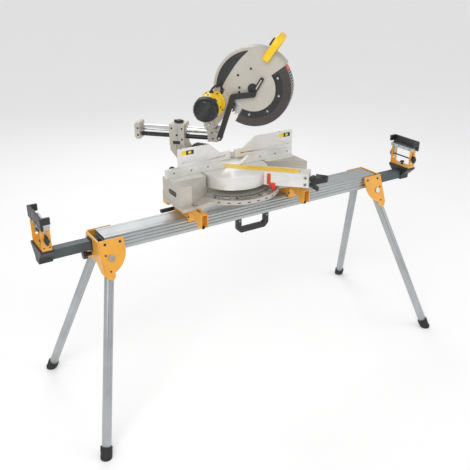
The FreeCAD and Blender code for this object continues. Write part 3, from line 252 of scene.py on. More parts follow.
finish_of("kerf", (0.92, 0.60, 0.03), 0.42, 0.06, 14, 1500, worn=(0.98, 0.8, 0.3), wear=0.4)
finish_of("red", (0.78, 0.040, 0.016), 0.34, 0.08, 20, 1500, worn=(0.9, 0.25, 0.2), wear=0.4)
finish_of("chrome", (0.82, 0.82, 0.82), 0.11, 0.04, 20, 1500, 0.00003, 0.1, Metallic=1.0, dirt=0.05)
rings_of("blade", (0.66, 0.66, 0.65), 0.27, ARBOR, 0.0007, 0.00004, Metallic=1.0)
finish_of("smoke_guard", (0.050, 0.040, 0.036), 0.28, 0.18, 14, 1300, 0.0001, 0.2, worn=(0.17, 0.15, 0.14),
          wear=0.6, Coat_Weight=0.4)
rings_of("motor_inner", (0.45, 0.27, 0.15), 0.4, MOTOR, 0.0012, 0.0001, Metallic=0.9)
finish_of("belt", (0.02, 0.02, 0.02), 0.6, 0.2, 20, 1400, 0.0003, 0.5)
finish_of("scale", (0.70, 0.70, 0.69), 0.30, 0.06, 18, 1500, 0.00006, Metallic=0.85)
finish_of("label_dark", (0.03, 0.03, 0.032), 0.33, 0.1, 14, 1600, 0.00004, 0.1)
finish_of("label_yellow", (0.93, 0.66, 0.05), 0.36, 0.05, 14, 1600, 0.00004, 0.1)
finish_of("dark_steel", (0.055, 0.055, 0.058), 0.34, 0.15, 25, 1500, 0.00006, Metallic=0.8,
          worn=(0.4, 0.4, 0.4))


# ---- frame pieces ----

ROUNDING = {  # millimetres, for nodes whose edges are softer than a deburred edge
    "d_handle": 11, "trigger": 3, "carry_handle": 5, "mitre_lock_handle": 4, "mitre_latch": 2.5,
    "belt_cover": 3, "dust_boot": 4, "motor_housing": 2.5, "motor_cap": 5, "guard_link": 1.5,
    "clamp_lever_left": 3, "clamp_lever_right": 3, "rail_lock_knob": 2, "saw_base": 2.2,
    "turntable": 1.6, "bevel_column": 4, "rail_end_brace": 2.5, "slide_carriage": 2.2, "upper_guard": 2,
    "support_base_left": 2.5, "support_base_right": 2.5, "saw_bracket_left": 1.2, "saw_bracket_right": 1.2,
    "support_knobs_left": 1.8, "support_knobs_right": 1.8, "fixed_fence": 1.0,
}
DEBURR = 0.7
WELD_REACH = 2e-6        # metres
SHARPEST_ROUND = 32      # degrees; flatter edges than this are left as they are


def finish_nodes():
    """Round the edges of every carried-over piece and give it its finish."""
    for name, piece in NODES.items():
        slot = piece.data.materials[0].name.split(".")[0]
        piece.data.materials[0] = MATERIALS[slot]
        weld = piece.modifiers.new("Weld", "WELD")
        weld.merge_threshold = WELD_REACH
        bevel = piece.modifiers.new("Rounding", "BEVEL")
        bevel.width = ROUNDING.get(name, DEBURR) * MM
        bevel.segments = 4 if name in ROUNDING else 2
        bevel.limit_method = "ANGLE"
        bevel.angle_limit = math.radians(SHARPEST_ROUND)
        bevel.use_clamp_overlap = True
        bevel.harden_normals = False


# ---- mesh helpers ----

bm = bmesh.new()        # what the add_ functions have drawn since the last finish


def finish(name, material, body, smooth=35):
    """Turn what has been drawn into a piece that rides on a body; angles above smooth stay sharp."""
    bmesh.ops.recalc_face_normals(bm, faces=bm.faces)
    mesh = bpy.data.meshes.new(name)
    bm.to_mesh(mesh)
    bm.clear()
    mesh.materials.append(MATERIALS[material])
    mesh.polygons.foreach_set("use_smooth", [True] * len(mesh.polygons))
    mesh.set_sharp_from_angle(angle=math.radians(smooth))
    piece = bpy.data.objects.new(name, mesh)
    bpy.context.scene.collection.objects.link(piece)
    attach(piece, body)
    return piece


def add_ring(points):
    return [bm.verts.new(point) for point in points]


def bridge(first, second, closed=True):
    count = len(first)
    for i in range(count if closed else count - 1):
        after = (i + 1) % count
        bm.faces.new((first[i], first[after], second[after], second[i]))


def skin(rings, ends=True):
    """Join rings of vertices, each to the next, and close the two ends."""
    for first, second in zip(rings, rings[1:]):
        bridge(first, second)
    if ends:
        bm.faces.new(rings[0])
        bm.faces.new(rings[-1])


def add_lathe(spot, profile, steps=40):
    """Revolve (radius, height) points about a frame's Z; a first or last radius of 0 closes the end."""
    rings = []
    for radius, height in profile:
        if radius == 0:
            rings.append([bm.verts.new(spot @ Vector((0, 0, height)))])
            continue
        rings.append(add_ring([spot @ Vector((*polar(radius, 360 * k / steps), height))
                               for k in range(steps)]))
    for first, second in zip(rings, rings[1:]):
        if len(first) == 1 or len(second) == 1:
            tip, ring = (first[0], second) if len(first) == 1 else (second[0], first)
            for i, vertex in enumerate(ring):
                bm.faces.new((tip, vertex, ring[(i + 1) % steps]))
        else:
            bridge(first, second)


def rounded_outline(points, radius, steps=4):
    """A polygon's outline with each corner rounded."""
    outline = []
    for before, corner, after in zip(points[-1:] + points[:-1], points, points[1:] + points[:1]):
        corner = Vector(corner)
        to_before, to_after = Vector(before) - corner, Vector(after) - corner
        cut = min(radius, to_before.length * 0.45, to_after.length * 0.45)
        start, end = corner + to_before.normalized() * cut, corner + to_after.normalized() * cut
        for k in range(steps + 1):
            t = k / steps
            outline.append((1 - t) ** 2 * start + 2 * t * (1 - t) * corner + t ** 2 * end)
    return outline


def rectangle(x1, x2, y1, y2, corner=1.5):
    corners = [Vector((x1, y1)), Vector((x2, y1)), Vector((x2, y2)), Vector((x1, y2))]
    return rounded_outline(corners, corner)


def wedge(inner, outer, angle, half_in, half_out):
    """A radial outline between two radii; its half widths are degrees."""
    return [polar(inner, angle - half_in), polar(outer, angle - half_out), polar(outer, angle + half_out),
            polar(inner, angle + half_in)]


def add_slab(spot, outline, low, high, edge=0.6):
    """A flat piece between two heights of a frame, with chamfered rims."""
    centre = sum((Vector(p) for p in outline), Vector((0, 0))) / len(outline)
    inset = []
    for point in outline:
        inward = centre - Vector(point)
        inset.append(Vector(point) + inward.normalized() * min(edge * 1.3, inward.length * 0.4))
    levels = ((inset, low), (outline, low + edge), (outline, high - edge), (inset, high))
    rings = [add_ring([spot @ Vector((x, y, z)) for x, y in ring]) for ring, z in levels]
    skin(rings)


def add_screw(spot, radius, height, sides=18):
    """A button-head screw with a hexagon socket, seated at the frame's Z 0."""
    add_lathe(spot, [(radius, 0), (radius, height * 0.35), (radius * 0.86, height * 0.8),
                     (radius * 0.62, height), (radius * 0.46, height)], sides)
    socket = []
    for depth in (height, height * 0.3):
        socket.append(add_ring([spot @ Vector((*polar(radius * 0.46, 360 * k / sides), depth))
                                for k in range(sides)]))
    bridge(*socket)
    bm.faces.new(socket[1])


def add_rivet(spot, radius, height, sides=18):
    """A domed rivet head."""
    dome = [(radius, 0), (radius, height * 0.2)]
    dome += [(radius * math.cos(math.radians(a)), height * (0.2 + 0.8 * math.sin(math.radians(a))))
             for a in (22, 45, 68)] + [(0, height)]
    add_lathe(spot, dome, sides)


def add_sweep(path, section, up):
    """A closed section swept along world points; up sets how the section turns."""
    rings = []
    for i, here in enumerate(path):
        ahead = (path[min(i + 1, len(path) - 1)] - path[max(i - 1, 0)]).normalized()
        side = ahead.cross(up).normalized()
        over = side.cross(ahead)
        rings.append(add_ring([here + side * u * MM + over * v * MM for u, v in section]))
    skin(rings)


def round_section(radius, steps=12):
    return [polar(radius, 360 * k / steps) for k in range(steps)]


def smooth_path(points, steps=6):
    """A Catmull-Rom line through world points."""
    ends = [points[0] * 2 - points[1]] + list(points) + [points[-1] * 2 - points[-2]]
    line = []
    for a, b, c, d in zip(ends, ends[1:], ends[2:], ends[3:]):
        for k in range(steps):
            t = k / steps
            line.append(0.5 * ((2 * b) + (c - a) * t + (2 * a - 5 * b + 4 * c - d) * t * t
                               + (3 * b - a - 3 * c + d) * t ** 3))
    return line + [points[-1].copy()]


def add_arc_band(spot, inner, outer, start, end, low, high, steps=40, edge=0.6):
    """Part of a flat ring, with chamfered rims; angles in degrees from the frame's X."""
    section = ((inner, low), (outer, low), (outer, high - edge), (outer - edge, high),
               (inner + edge, high), (inner, high - edge))
    rings = []
    for k in range(steps + 1):
        angle = start + (end - start) * k / steps
        rings.append(add_ring([spot @ Vector((*polar(radius, angle), z)) for radius, z in section]))
    skin(rings)


# ---- head: blade, guards, motor ----

BLADE_R, BLADE_HALF, TIP_HALF, TEETH, ARBOR_HOLE = 152.2, 1.15, 1.35, 60, 12.8
UPPER_R, UPPER_HALF, UPPER_FROM, UPPER_SWEEP = 172, 42, 37, 178
LOWER_R, LOWER_HALF, LOWER_FROM, LOWER_SWEEP = 165, 36, -118, 155
GUARD_SLOTS, GUARD_RIBS, RIB_IN, RIB_OUT = 34, 46, 132, 158
CRESCENT_IN, CRESCENT_OUT, CRESCENT_THICK = 103, 128, 1.2
LEAF_FROM, LEAF_TO, LEAF_OUT = 98, 196, 160
LEVER_START, LEVER_END, LEVER_HALF = Vector((4, -20)), Vector((40, 42)), 8.5
CAP_VENTS = 34
HEAD_LEFT = left_face(ARBOR)
HEAD_RIGHT = axes_at(ARBOR, LATERAL, -FORWARD)
MOTOR_LEFT = left_face(MOTOR)


def make_blade():
    """A toothed disc: each tooth has a carbide tip, a back that falls away and a round gullet."""
    tooth = ((0, 0), (0.10, -0.2), (0.38, -2.2), (0.52, -7.4), (0.66, -10.2), (0.80, -10.6), (0.92, -7.5),
             (0.985, -1.8))
    faces = []
    for side in (-1, 1):
        rings = []
        for level in (ARBOR_HOLE, 34, 96, 136):
            rings.append([(level, k, share) for k in range(TEETH) for share, _ in tooth])
        rings.append([(BLADE_R + drop, k, share) for k in range(TEETH) for share, drop in tooth])
        placed = [add_ring([HEAD_LEFT @ Vector((*polar(r, 360 * (k + share) / TEETH), side * BLADE_HALF))
                            for r, k, share in ring]) for ring in rings]
        skin(placed, False)
        faces.append((placed[0], placed[-1]))
    bridge(faces[0][1], faces[1][1])
    bridge(faces[0][0], faces[1][0])
    blade = finish("toothed_blade", "blade", "spindle", smooth=25)
    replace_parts(blade, "saw_blade")
    for k in range(TEETH):
        start = 360 * k / TEETH
        outline = [polar(BLADE_R + 0.2, start - 0.1), polar(BLADE_R - 0.3, start + 0.9),
                   polar(BLADE_R - 7, start + 0.9), polar(BLADE_R - 7.4, start - 0.15)]
        add_slab(HEAD_LEFT, outline, -TIP_HALF, TIP_HALF, 0.2)
    finish("carbide_tips", "zinc", "spindle", 25)


def make_lower_guard_trim():
    """Ribs pressed in the smoked guard's sides, bright webs in its rim, the crescent and its rivets."""
    for k in range(GUARD_RIBS):
        angle = LOWER_FROM + 4 + (LOWER_SWEEP - 22) * k / (GUARD_RIBS - 1)
        for side_frame, at in ((HEAD_LEFT, angle), (HEAD_RIGHT, 180 - angle)):
            add_slab(side_frame, wedge(RIB_IN, RIB_OUT, at, 0.9, 0.7), LOWER_HALF - 0.4,
                     LOWER_HALF + 1.5, 0.7)
    finish("lower_guard_ribs", "smoke_guard", "lower_guard")
    add_arc_band(HEAD_LEFT, CRESCENT_IN, CRESCENT_OUT, LOWER_FROM + 3, 33, LOWER_HALF,
                 LOWER_HALF + CRESCENT_THICK, 60, 0.6)
    finish("guard_crescent", "black_plastic", "lower_guard")
    for angle in (24, -14, -56, -98):
        add_rivet(spot_on(HEAD_LEFT, 115, angle, LOWER_HALF + CRESCENT_THICK - 0.1), 4.6, 0.8)
    finish("crescent_rivets", "silver_bar", "lower_guard")
    for k in range(GUARD_SLOTS + 1):
        angle = LOWER_FROM + (k + 0.5) / (GUARD_SLOTS + 2) * LOWER_SWEEP
        add_slab(HEAD_LEFT, wedge(LOWER_R - 1.5, LOWER_R + 0.7, angle, 0.85, 0.85), -24, 24, 0.4)
    finish("rim_webs", "silver_bar", "lower_guard")
    add_arc_band(HEAD_LEFT, LOWER_R - 12, LOWER_R + 2.4, 28.5, 36.2, -23, 23, 8, 3)
    finish("guard_finger_tip", "red", "lower_guard")


def make_upper_guard_trim():
    """A raised rim, a blank leaf badge, screws, top ribs and the arbor cap with its lever."""
    start, end = UPPER_FROM + 1, UPPER_FROM + UPPER_SWEEP - 6
    for side_frame, first, last in ((HEAD_LEFT, start, end), (HEAD_RIGHT, 180 - end, 180 - start)):
        add_arc_band(side_frame, UPPER_R - 7, UPPER_R - 0.4, first, last, UPPER_HALF - 0.4,
                     UPPER_HALF + 1.6, 60, 1.0)
    finish("guard_rims", "casting", "head")
    outer_side, inner_side, steps = [], [], 28
    for k in range(steps + 1):
        share = k / steps
        angle = LEAF_FROM + (LEAF_TO - LEAF_FROM) * share
        belly = math.sin(math.pi * share) ** 0.8
        outer_side.append(Vector(polar(LEAF_OUT, angle)))
        inner_side.append(Vector(polar(LEAF_OUT - 3 - 40 * belly, angle)))
    rings = []
    for inset, level in ((0.0, UPPER_HALF), (0.0, UPPER_HALF + 1.2), (1.2, UPPER_HALF + 2.0)):
        line = [a + (b - a).normalized() * inset for a, b in zip(outer_side, inner_side)]
        back = [b + (a - b).normalized() * inset for a, b in zip(outer_side, inner_side)]
        rings.append((add_ring([HEAD_LEFT @ Vector((*p, level)) for p in line]),
                      add_ring([HEAD_LEFT @ Vector((*p, level)) for p in back])))
    for (a1, b1), (a2, b2) in zip(rings, rings[1:]):
        bridge(a1, a2, False)
        bridge(b2, b1, False)
        bm.faces.new((a1[0], a2[0], b2[0], b1[0]))
        bm.faces.new((a1[-1], b1[-1], b2[-1], a2[-1]))
    bridge(rings[-1][0], rings[-1][1], False)
    finish("blank_badge", "label_dark", "head")
    add_lathe(HEAD_LEFT, [(22, UPPER_HALF - 3), (22, UPPER_HALF + 4), (20, UPPER_HALF + 6.5),
                          (9, UPPER_HALF + 7), (8, UPPER_HALF + 4), (0, UPPER_HALF + 4)])
    finish("arbor_cap", "black_plastic", "head")
    along = (LEVER_END - LEVER_START).normalized()
    across = Vector((-along.y, along.x))
    outline = []
    for centre, direction in ((LEVER_START, -1), (LEVER_END, 1)):
        for k in range(9):
            turn = math.radians(-90 + 180 * k / 8)
            outline.append(centre + along * direction * LEVER_HALF * math.cos(turn)
                           + across * direction * LEVER_HALF * math.sin(turn))
    add_slab(HEAD_LEFT, outline, UPPER_HALF + 7, UPPER_HALF + 11, 1.0)
    finish("guard_cam_lever", "black_plastic", "head")
    inner_start, inner_end = LEVER_START + along * 24, LEVER_END - along * 2
    slot_outline = [inner_start + across * 2.6, inner_end + across * 2.6, inner_end - across * 2.6,
                    inner_start - across * 2.6]
    add_slab(HEAD_LEFT, rounded_outline(slot_outline, 2.4), UPPER_HALF + 10.6, UPPER_HALF + 11.3, 0.2)
    finish("cam_lever_slot", "casting", "head")
    for radius, angle in ((58, 178), (62, 196), (84, 140), (150, 62), (150, 200), (84, 96)):
        add_screw(spot_on(HEAD_LEFT, radius, angle, UPPER_HALF), 5.2, 3.4)
    for angle in (80, 30, -16):
        add_screw(spot_on(HEAD_RIGHT, 150, angle, UPPER_HALF), 5.2, 3.4)
    finish("guard_screws", "dark_steel", "head")
    for lift in (0, 12, 24):
        add_arc_band(HEAD_LEFT, UPPER_R - 1, UPPER_R + 1.0, 128 + lift * 2.4, 133 + lift * 2.4,
                     -UPPER_HALF + 8, UPPER_HALF - 8, 6, 0.6)
    finish("guard_top_ribs", "casting", "head")


MOTOR_R, MOTOR_MID = 52, 163


def make_motor_trim():
    """The vented cap with a blank plate, bands, screws, and the short cable with its gland."""
    mid = MOTOR_MID
    profile = [(40, mid + 1), (MOTOR_R - 1, mid + 1), (MOTOR_R - 0.6, mid + 18), (MOTOR_R - 3, mid + 27),
               (MOTOR_R - 9, mid + 36), (MOTOR_R - 18, mid + 41), (MOTOR_R - 34, mid + 42.6),
               (0, mid + 42.8)]
    add_lathe(MOTOR_LEFT, profile, 72)
    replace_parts(finish("vented_cap", "black_plastic", "head", smooth=30), "motor_cap")
    for k in range(CAP_VENTS):
        spoke = MOTOR_LEFT @ Matrix.Rotation(2 * math.pi * k / CAP_VENTS, 4, "Z")
        route = [spoke @ Vector(p) for p in ((50.6, 0, mid + 24), (47.6, 0, mid + 32), (42, 0, mid + 38.2),
                                             (34, 0, mid + 41.6), (24, 0, mid + 42.6))]
        add_sweep(smooth_path(route, 3), [(-1.7, -1), (1.7, -1), (1.1, 1.3), (-1.1, 1.3)],
                  spoke.to_3x3() @ Vector((1, 0, 1)))
    finish("cap_fins", "dark_steel", "head")
    tilted = spun(MOTOR_LEFT, 52)
    add_slab(tilted, rectangle(-45, 45, -11, 11, 10), mid + 24, mid + 43.8, 1.4)
    finish("cap_blank_plate", "label_dark", "head")
    add_lathe(MOTOR_LEFT, [(MOTOR_R - 2, mid - 6), (MOTOR_R + 1.4, mid - 5), (MOTOR_R + 1.4, mid + 6),
                           (MOTOR_R - 2, mid + 8)], 64)
    for k in range(4):
        clip = spun(MOTOR_LEFT, 45 + 90 * k)
        add_slab(clip, rectangle(MOTOR_R - 6, MOTOR_R + 2.2, -9, 9, 2), mid - 20, mid + 2, 1)
    finish("cap_collar", "black_plastic", "head")
    on_side = Matrix.Rotation(math.radians(90), 4, "Y")
    for turn in (62, 118, 205, 335):
        for shift, along, radius in ((0, 74, 5), (28, 132, 4.4)):
            around = spun(MOTOR_LEFT, turn + shift)
            add_screw(around @ Matrix.Translation((MOTOR_R - 0.4, 0, along)) @ on_side, radius, 3.6)
    finish("motor_screws", "dark_steel", "head")
    for place in (70, 112):
        add_lathe(MOTOR_LEFT, [(MOTOR_R - 1, place - 2.4), (MOTOR_R + 0.9, place - 1.4),
                               (MOTOR_R + 0.9, place + 1.4), (MOTOR_R - 1, place + 2.4)], 64)
    finish("motor_bands", "saw_yellow", "head")
    _, fwd, up = in_arm(MOTOR)
    route = [arm(-84, fwd + 2, up + 44), arm(-85, fwd + 5, up + 66), arm(-76, fwd + 20, up + 80),
             arm(-60, fwd + 34, up + 76), arm(-46, fwd + 40, up + 62), arm(-42, fwd + 42, up + 44)]
    add_sweep(smooth_path(route, 8), round_section(4.2), LATERAL)
    finish("motor_cable", "rubber", "head")
    profile = [(12, 0), (12, 9), (10, 11), (10, 15), (6.6, 21), (4.4, 24)]
    add_lathe(axes_at(arm(-84, fwd + 2, up + 40), UP, FORWARD), profile, 24)
    add_lathe(axes_at(arm(-48, fwd + 40, up + 58), LATERAL * -0.4 + UP, FORWARD),
              [(9, -14), (9, 2), (7, 4), (4.6, 8)], 24)
    finish("cable_glands", "black_plastic", "head")


GRIP_SLOPE, GRIP_HALF, GRIP_LONG, GRIP_THICK = 56, 70, 124, 34
GRIP_FOOT = (0, 149, 488)


def make_grip():
    """The moulded D handle: a soft loop across the saw, whose legs run down the guard's two sides."""
    slope = math.radians(GRIP_SLOPE)
    up_slope = FORWARD * math.cos(slope) + UP * math.sin(slope)
    outward = LATERAL.cross(up_slope)
    plane = axes_at(arm(*GRIP_FOOT), outward, LATERAL)
    half, long, low, turn_r = GRIP_HALF - 14, GRIP_LONG - 15, 6, 34
    leg = [low - 4] + [low + (long - turn_r - low) * k / 10 for k in range(10)]
    bar = [turn_r - half + (half - turn_r) * k / 4 for k in range(1, 8)]
    left = [Vector((-half, y)) for y in leg]
    turn_centre = Vector((turn_r - half, long - turn_r))
    left += [turn_centre + Vector(polar(turn_r, 180 - 10 * k)) for k in range(10)]
    line = left + [Vector((x, long)) for x in bar] + [Vector((-p.x, p.y)) for p in reversed(left)]
    rings = []
    section_steps = 20
    for i, here in enumerate(line):
        ahead = (line[min(i + 1, len(line) - 1)] - line[max(i - 1, 0)]).normalized()
        side = Vector((ahead.y, -ahead.x))
        share = max(0.0, min(1.0, (here.y - low) / (long - low)))
        wide = 13.4 + 3.2 * (1 - share) ** 3
        deep = GRIP_THICK / 2 - 1.2 * math.sin(math.pi * share) - 0.4
        ring = []
        from_end = min(i, len(line) - 1 - i)
        end_scale = (0.72, 0.94)[from_end] if from_end < 2 else 1
        for k in range(section_steps):
            turn = 2 * math.pi * k / section_steps
            c, s = math.cos(turn), math.sin(turn)
            u = math.copysign(abs(c) ** 0.62, c) * wide * end_scale
            v = math.copysign(abs(s) ** 0.62, s) * deep * end_scale
            at = here + side * u
            ring.append(plane @ Vector((at.x, at.y, v)))
        rings.append(add_ring(ring))
    skin(rings)
    grip = finish("moulded_grip", "saw_yellow", "head", smooth=60)
    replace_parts(grip, "d_handle")


# ---- table, base and fences ----

SCALE_Z, SCALE_OUT, SCALE_IN = -86, 212, 182
FENCE_FACE = axes_at(TABLE_TOP, -Y_AXIS, X_AXIS)      # X along the fence, Y up, Z towards the operator
BASE_LOW_Z = -105


def make_mitre_scale():
    """The bright scale plate with its degree marks, the notched detent ring and their screws."""
    add_arc_band(SAW, SCALE_IN, SCALE_OUT, 196, 344, SCALE_Z - 0.4, SCALE_Z + 1.2, 80, 0.4)
    finish("mitre_scale", "scale", "saw")
    for degree in range(-50, 61):
        angle = 270 + degree
        reach = 14 if degree % 10 == 0 else 10 if degree % 5 == 0 else 6
        turned = spun(SAW, angle)
        add_slab(turned, rectangle(SCALE_OUT - 3 - reach, SCALE_OUT - 3, -0.45, 0.45, 0.2),
                 SCALE_Z + 1.0, SCALE_Z + 1.5, 0.15)
    finish("scale_marks", "label_dark", "saw")
    notches = (-50, -45, -35, -30, -22.5, -15, 0, 15, 22.5, 30, 35, 45, 60)
    edges = sorted([a - 1.1 for a in notches] + [a + 1.1 for a in notches])
    spans = zip([-62] + edges[1::2], edges[0::2] + [70])
    for start, end in spans:
        add_arc_band(SAW, 163.5, SCALE_IN - 1, 270 + start, 270 + end, SCALE_Z - 0.4, SCALE_Z + 3.4,
                     max(2, int((end - start) / 2)), 0.5)
    finish("detent_ring", "zinc", "saw")
    for degree in (-56, -26, 8, 40, 66):
        spot = spot_on(SAW, SCALE_IN + 7, 270 + degree, SCALE_Z + 1.2)
        add_screw(spot, 5.2, 3.4)
    finish("scale_screws", "dark_steel", "saw")


def make_base_trim():
    """Bench-hole rims, webs in the base's pockets, side grips, wing pads, bolts, and painted shade in the
    skirt's slots.
    """
    for side in SIDES.values():
        spot = SAW @ Matrix.Translation((side * 250, -20, 0))
        add_lathe(spot, [(9.2, -1.5), (9.2, 0.3), (12.5, 0.5), (13.6, -0.3)], 28)
    finish("bench_hole_rims", "bright_table", "saw")
    for x1, x2 in ((-323, -177), (230, 323)):
        for k in range(1, 3 if x2 < 0 else 2):
            x = x1 + (x2 - x1) * k / (3 if x2 < 0 else 2)
            add_slab(SAW, rectangle(x - 3, x + 3, -41, 38, 1), -91.5, -11.5, 1.2)
    finish("base_webs", "casting", "saw")
    for side in SIDES.values():
        face = axes_at(SAW @ Vector((side * 335, -50, -45)), X_AXIS * side, Y_AXIS * side)
        add_slab(face, rectangle(-34, 34, -11, 11, 10), -0.4, 1.6, 1.2)
    finish("side_grips", "black_plastic", "saw")
    for x1, x2, y1, y2 in ((-331, -174, -50, -3), (174, 331, -30, -3)):
        add_slab(SAW, rectangle(x1, x2, y1, y2, 4), -0.5, 0.25, 0.3)
    finish("wing_pads", "bright_table", "saw")
    for name in SIDES:
        x = (middle(f"saw_bracket_{name}").x - TABLE_TOP.x) / MM
        for y in (20, -130):
            spot = SAW @ Matrix.Translation((x, y, BASE_LOW_Z + 14))
            add_lathe(spot, [(0, 0), (12, 0), (12, 1.8), (8.2, 1.9)], 28)
            add_lathe(spot, [(7.5, 1.8), (7.5, 6.6), (6.4, 7.6), (0, 7.6)], 6)
    finish("saw_mounting_bolts", "zinc", "saw")
    # Painted shade: flat dark slabs on the skirt stand for the shade inside its slots.
    for k in range(9):
        turned = spun(SAW, 222 + 12 * k) @ Matrix.Translation((215.2, 0, -96))
        face = turned @ Matrix.Rotation(math.radians(90), 4, "Y")
        add_slab(face, rectangle(-2.2, 2.2, -7, 7, 2), -0.6, 0.5, 0.3)
    finish("skirt_slot_painted_shade", "label_dark", "saw")


def make_fence_trim():
    """Screws on the fences, their lock knobs, and plain stickers without any lettering."""
    for name, sticker_x in (("left", -262), ("right", 258)):
        body = f"{name}_fence"
        for part, x1, x2, y1, y2, corner, low, high, material in (
                ("plain", 0, 24, 94, 113, 1.5, -0.2, 0.35, "label_yellow"),
                ("dark", 24.4, 62, 94, 113, 1.5, -0.2, 0.35, "label_dark"),
                ("square", 35, 49, 98, 109, 0.8, 0.3, 0.55, "label_yellow")):
            outline = rectangle(sticker_x + x1, sticker_x + x2, y1, y2, corner)
            add_slab(FENCE_FACE, outline, low, high, 0.1)
            finish(f"sticker_{name}_{part}", material, body)
        out = -1 if name == "left" else 1
        for x in (out * 262, out * 150):
            add_screw(SAW @ Matrix.Translation((x, 4, 122.6)), 3.0, 1.6)
        finish(f"fence_{name}_stops", "dark_steel", body)
    for x in (-300, -214, -130, 150, 236, 306):
        spot = FENCE_FACE @ Matrix.Translation((x, 21, 0))
        add_screw(spot, 3.4, 1.5)
    finish("fixed_fence_screws", "dark_steel", "saw")
    back = axes_at(TABLE_TOP, Y_AXIS, -X_AXIS)
    for x in (290, -300):
        spot = back @ Matrix.Translation((x, 24, 20))
        add_lathe(spot, [(6, 0), (6, 8), (13, 10), (15, 13), (15, 22), (12, 25), (0, 25.5)], 24)
    finish("fence_lock_knobs", "black_plastic", "saw")


def make_table_trim():
    """Kerf plate screws and marks, painted shadow in their slot, the table's side seams and the arm's end
    fittings.
    """
    for forward in (-70, 30, 130, 225, 280):
        for side in (-1, 1):
            add_screw(axes_at(arm(side * 21, forward, -0.4), UP, FORWARD), 3.0, 0.6)
    finish("kerf_screws", "dark_steel", "table")
    # Painted shadow: a flat dark slab in the kerf slot's trough stands for the shade in the gap.
    slot = axes_at(arm(0, 108, -12), UP, FORWARD)
    add_slab(slot, rectangle(-196, 200, -7.3, 7.3, 6), -8.1, -6.8, 0.4)
    finish("kerf_slot_painted_shadow", "label_dark", "table")
    for side in (-1, 1):
        strip = axes_at(arm(side * 5.0, 108, 0), UP, FORWARD)
        add_slab(strip, rectangle(-200, 198, -3.2, 3.2, 1), -2.9, -0.1, 0.2)
    finish("kerf_inner_strips", "kerf", "table")
    for height in (-13, -46):
        add_lathe(ARM, [(158.5, height - 1.6), (160.8, height - 0.9), (160.8, height + 0.9),
                        (158.5, height + 1.6)], 120)
    finish("table_seams", "bright_table", "table")
    for side in (-1, 1):
        for forward, up in ((340, -16), (340, -48)):
            face = axes_at(arm(side * 39, forward, up), LATERAL * side, FORWARD)
            add_lathe(face, [(9, -0.5), (9, 1.6), (7.4, 2.6), (4.4, 2.6), (4.4, 0.6), (0, 0.6)], 24)
    finish("arm_bosses", "casting", "table")
    for side in (-1, 1):
        face = axes_at(arm(side * 39, 262, -33), LATERAL * side, FORWARD * side)
        for low, high in ((-20, -18), (18, 20)):
            add_slab(face, rectangle(-58, 58, low, high, 0.8), -0.4, 1.3, 0.5)
    finish("arm_side_ribs", "bright_table", "table")
    for up in (-16, -48):
        add_screw(axes_at(arm(-39 - 0.6, 340, up), -LATERAL, FORWARD), 4.2, 2.6)
        add_screw(axes_at(arm(39 + 0.6, 340, up), LATERAL, FORWARD), 4.2, 2.6)
    finish("arm_screws", "dark_steel", "table")
    for k in range(5):
        strip = axes_at(arm(-20 + 10 * k, 407, -17.6), UP, FORWARD)
        add_slab(strip, rectangle(-22, 22, -2.2, 2.2, 2), -1.5, 0.2, 0.6)
    finish("lock_handle_ribs", "rubber", "mitre_lock")


# ---- slide, column and carriage ----

COLUMN_LEFT = axes_at(arm(-40, -250, 0), -LATERAL, FORWARD)
BEVEL = joint_place("bevel")


def make_column_trim():
    """The bevel quadrant, the rail's chrome bush, the strap, a blank plate, screws and ribs."""
    bevel_frame = axes_at(BEVEL, FORWARD, LATERAL)
    add_arc_band(bevel_frame, 52, 88, 38, 142, 1, 5, 36, 0.8)
    finish("bevel_scale", "stand_yellow", "bevel_arm")
    for k in range(23):
        turned = spun(bevel_frame, 46 + 4 * k)
        reach = 9 if k % 3 == 2 else 5
        add_slab(turned, rectangle(86 - reach, 86, -0.4, 0.4, 0.2), 4.8, 5.3, 0.15)
    finish("bevel_marks", "label_dark", "bevel_arm")
    for angle in (52, 128):
        spot = spot_on(bevel_frame, 68, angle, 5)
        add_lathe(spot, [(4, 0), (4, 3), (9, 4), (10, 7), (9, 11), (0, 12)], 20)
    finish("bevel_stops", "black_plastic", "bevel_arm")
    rail_mm = in_arm(middle("slide_rail"))[2]
    for forward, out, proud in ((-208, 1, 0.1), (-285, -1, 1)):
        face = axes_at(arm(0, forward, rail_mm), FORWARD * out, LATERAL)
        add_lathe(face, [(13.3, -3), (13.3, 2.2 * proud), (15, 3 * proud), (19.5, 2.4 * proud),
                         (20.6, 0.6 * proud), (20.6, -3)], 40)
    finish("rail_bush_rings", "chrome", "bevel_arm")
    add_slab(COLUMN_LEFT, rectangle(-5, 5, 118, 186, 4), -0.3, 1.8, 0.6)
    finish("lock_strap", "silver_bar", "bevel_arm")
    add_slab(COLUMN_LEFT, rectangle(-19, 15, 99, 114, 2), -0.2, 0.7, 0.25)
    finish("blank_plate", "label_dark", "bevel_arm")
    for x, y, radius in ((0, 142, 4.6), (-24, 172, 4.2), (24, 172, 4.2), (24, 122, 4.2)):
        add_screw(COLUMN_LEFT @ Matrix.Translation((x, y, 1.4 if x == 0 else 0)), radius, 3)
    right = axes_at(arm(40, -250, 0), LATERAL, -FORWARD)
    for x, y in ((-24, 172), (24, 172), (24, 122), (-24, 122)):
        add_screw(right @ Matrix.Translation((x, y, 0)), 4.2, 3)
    finish("column_screws", "dark_steel", "bevel_arm")
    for side in (-1, 1):
        face = axes_at(arm(side * 34, -236, 0), LATERAL * side, FORWARD * -side)
        for x in (-20, 0, 20):
            add_slab(face, rectangle(x - 2.5, x + 2.5, 34 if x > 0 else 70, 96, 1), -0.5, 5, 1)
    finish("column_ribs", "casting", "bevel_arm")


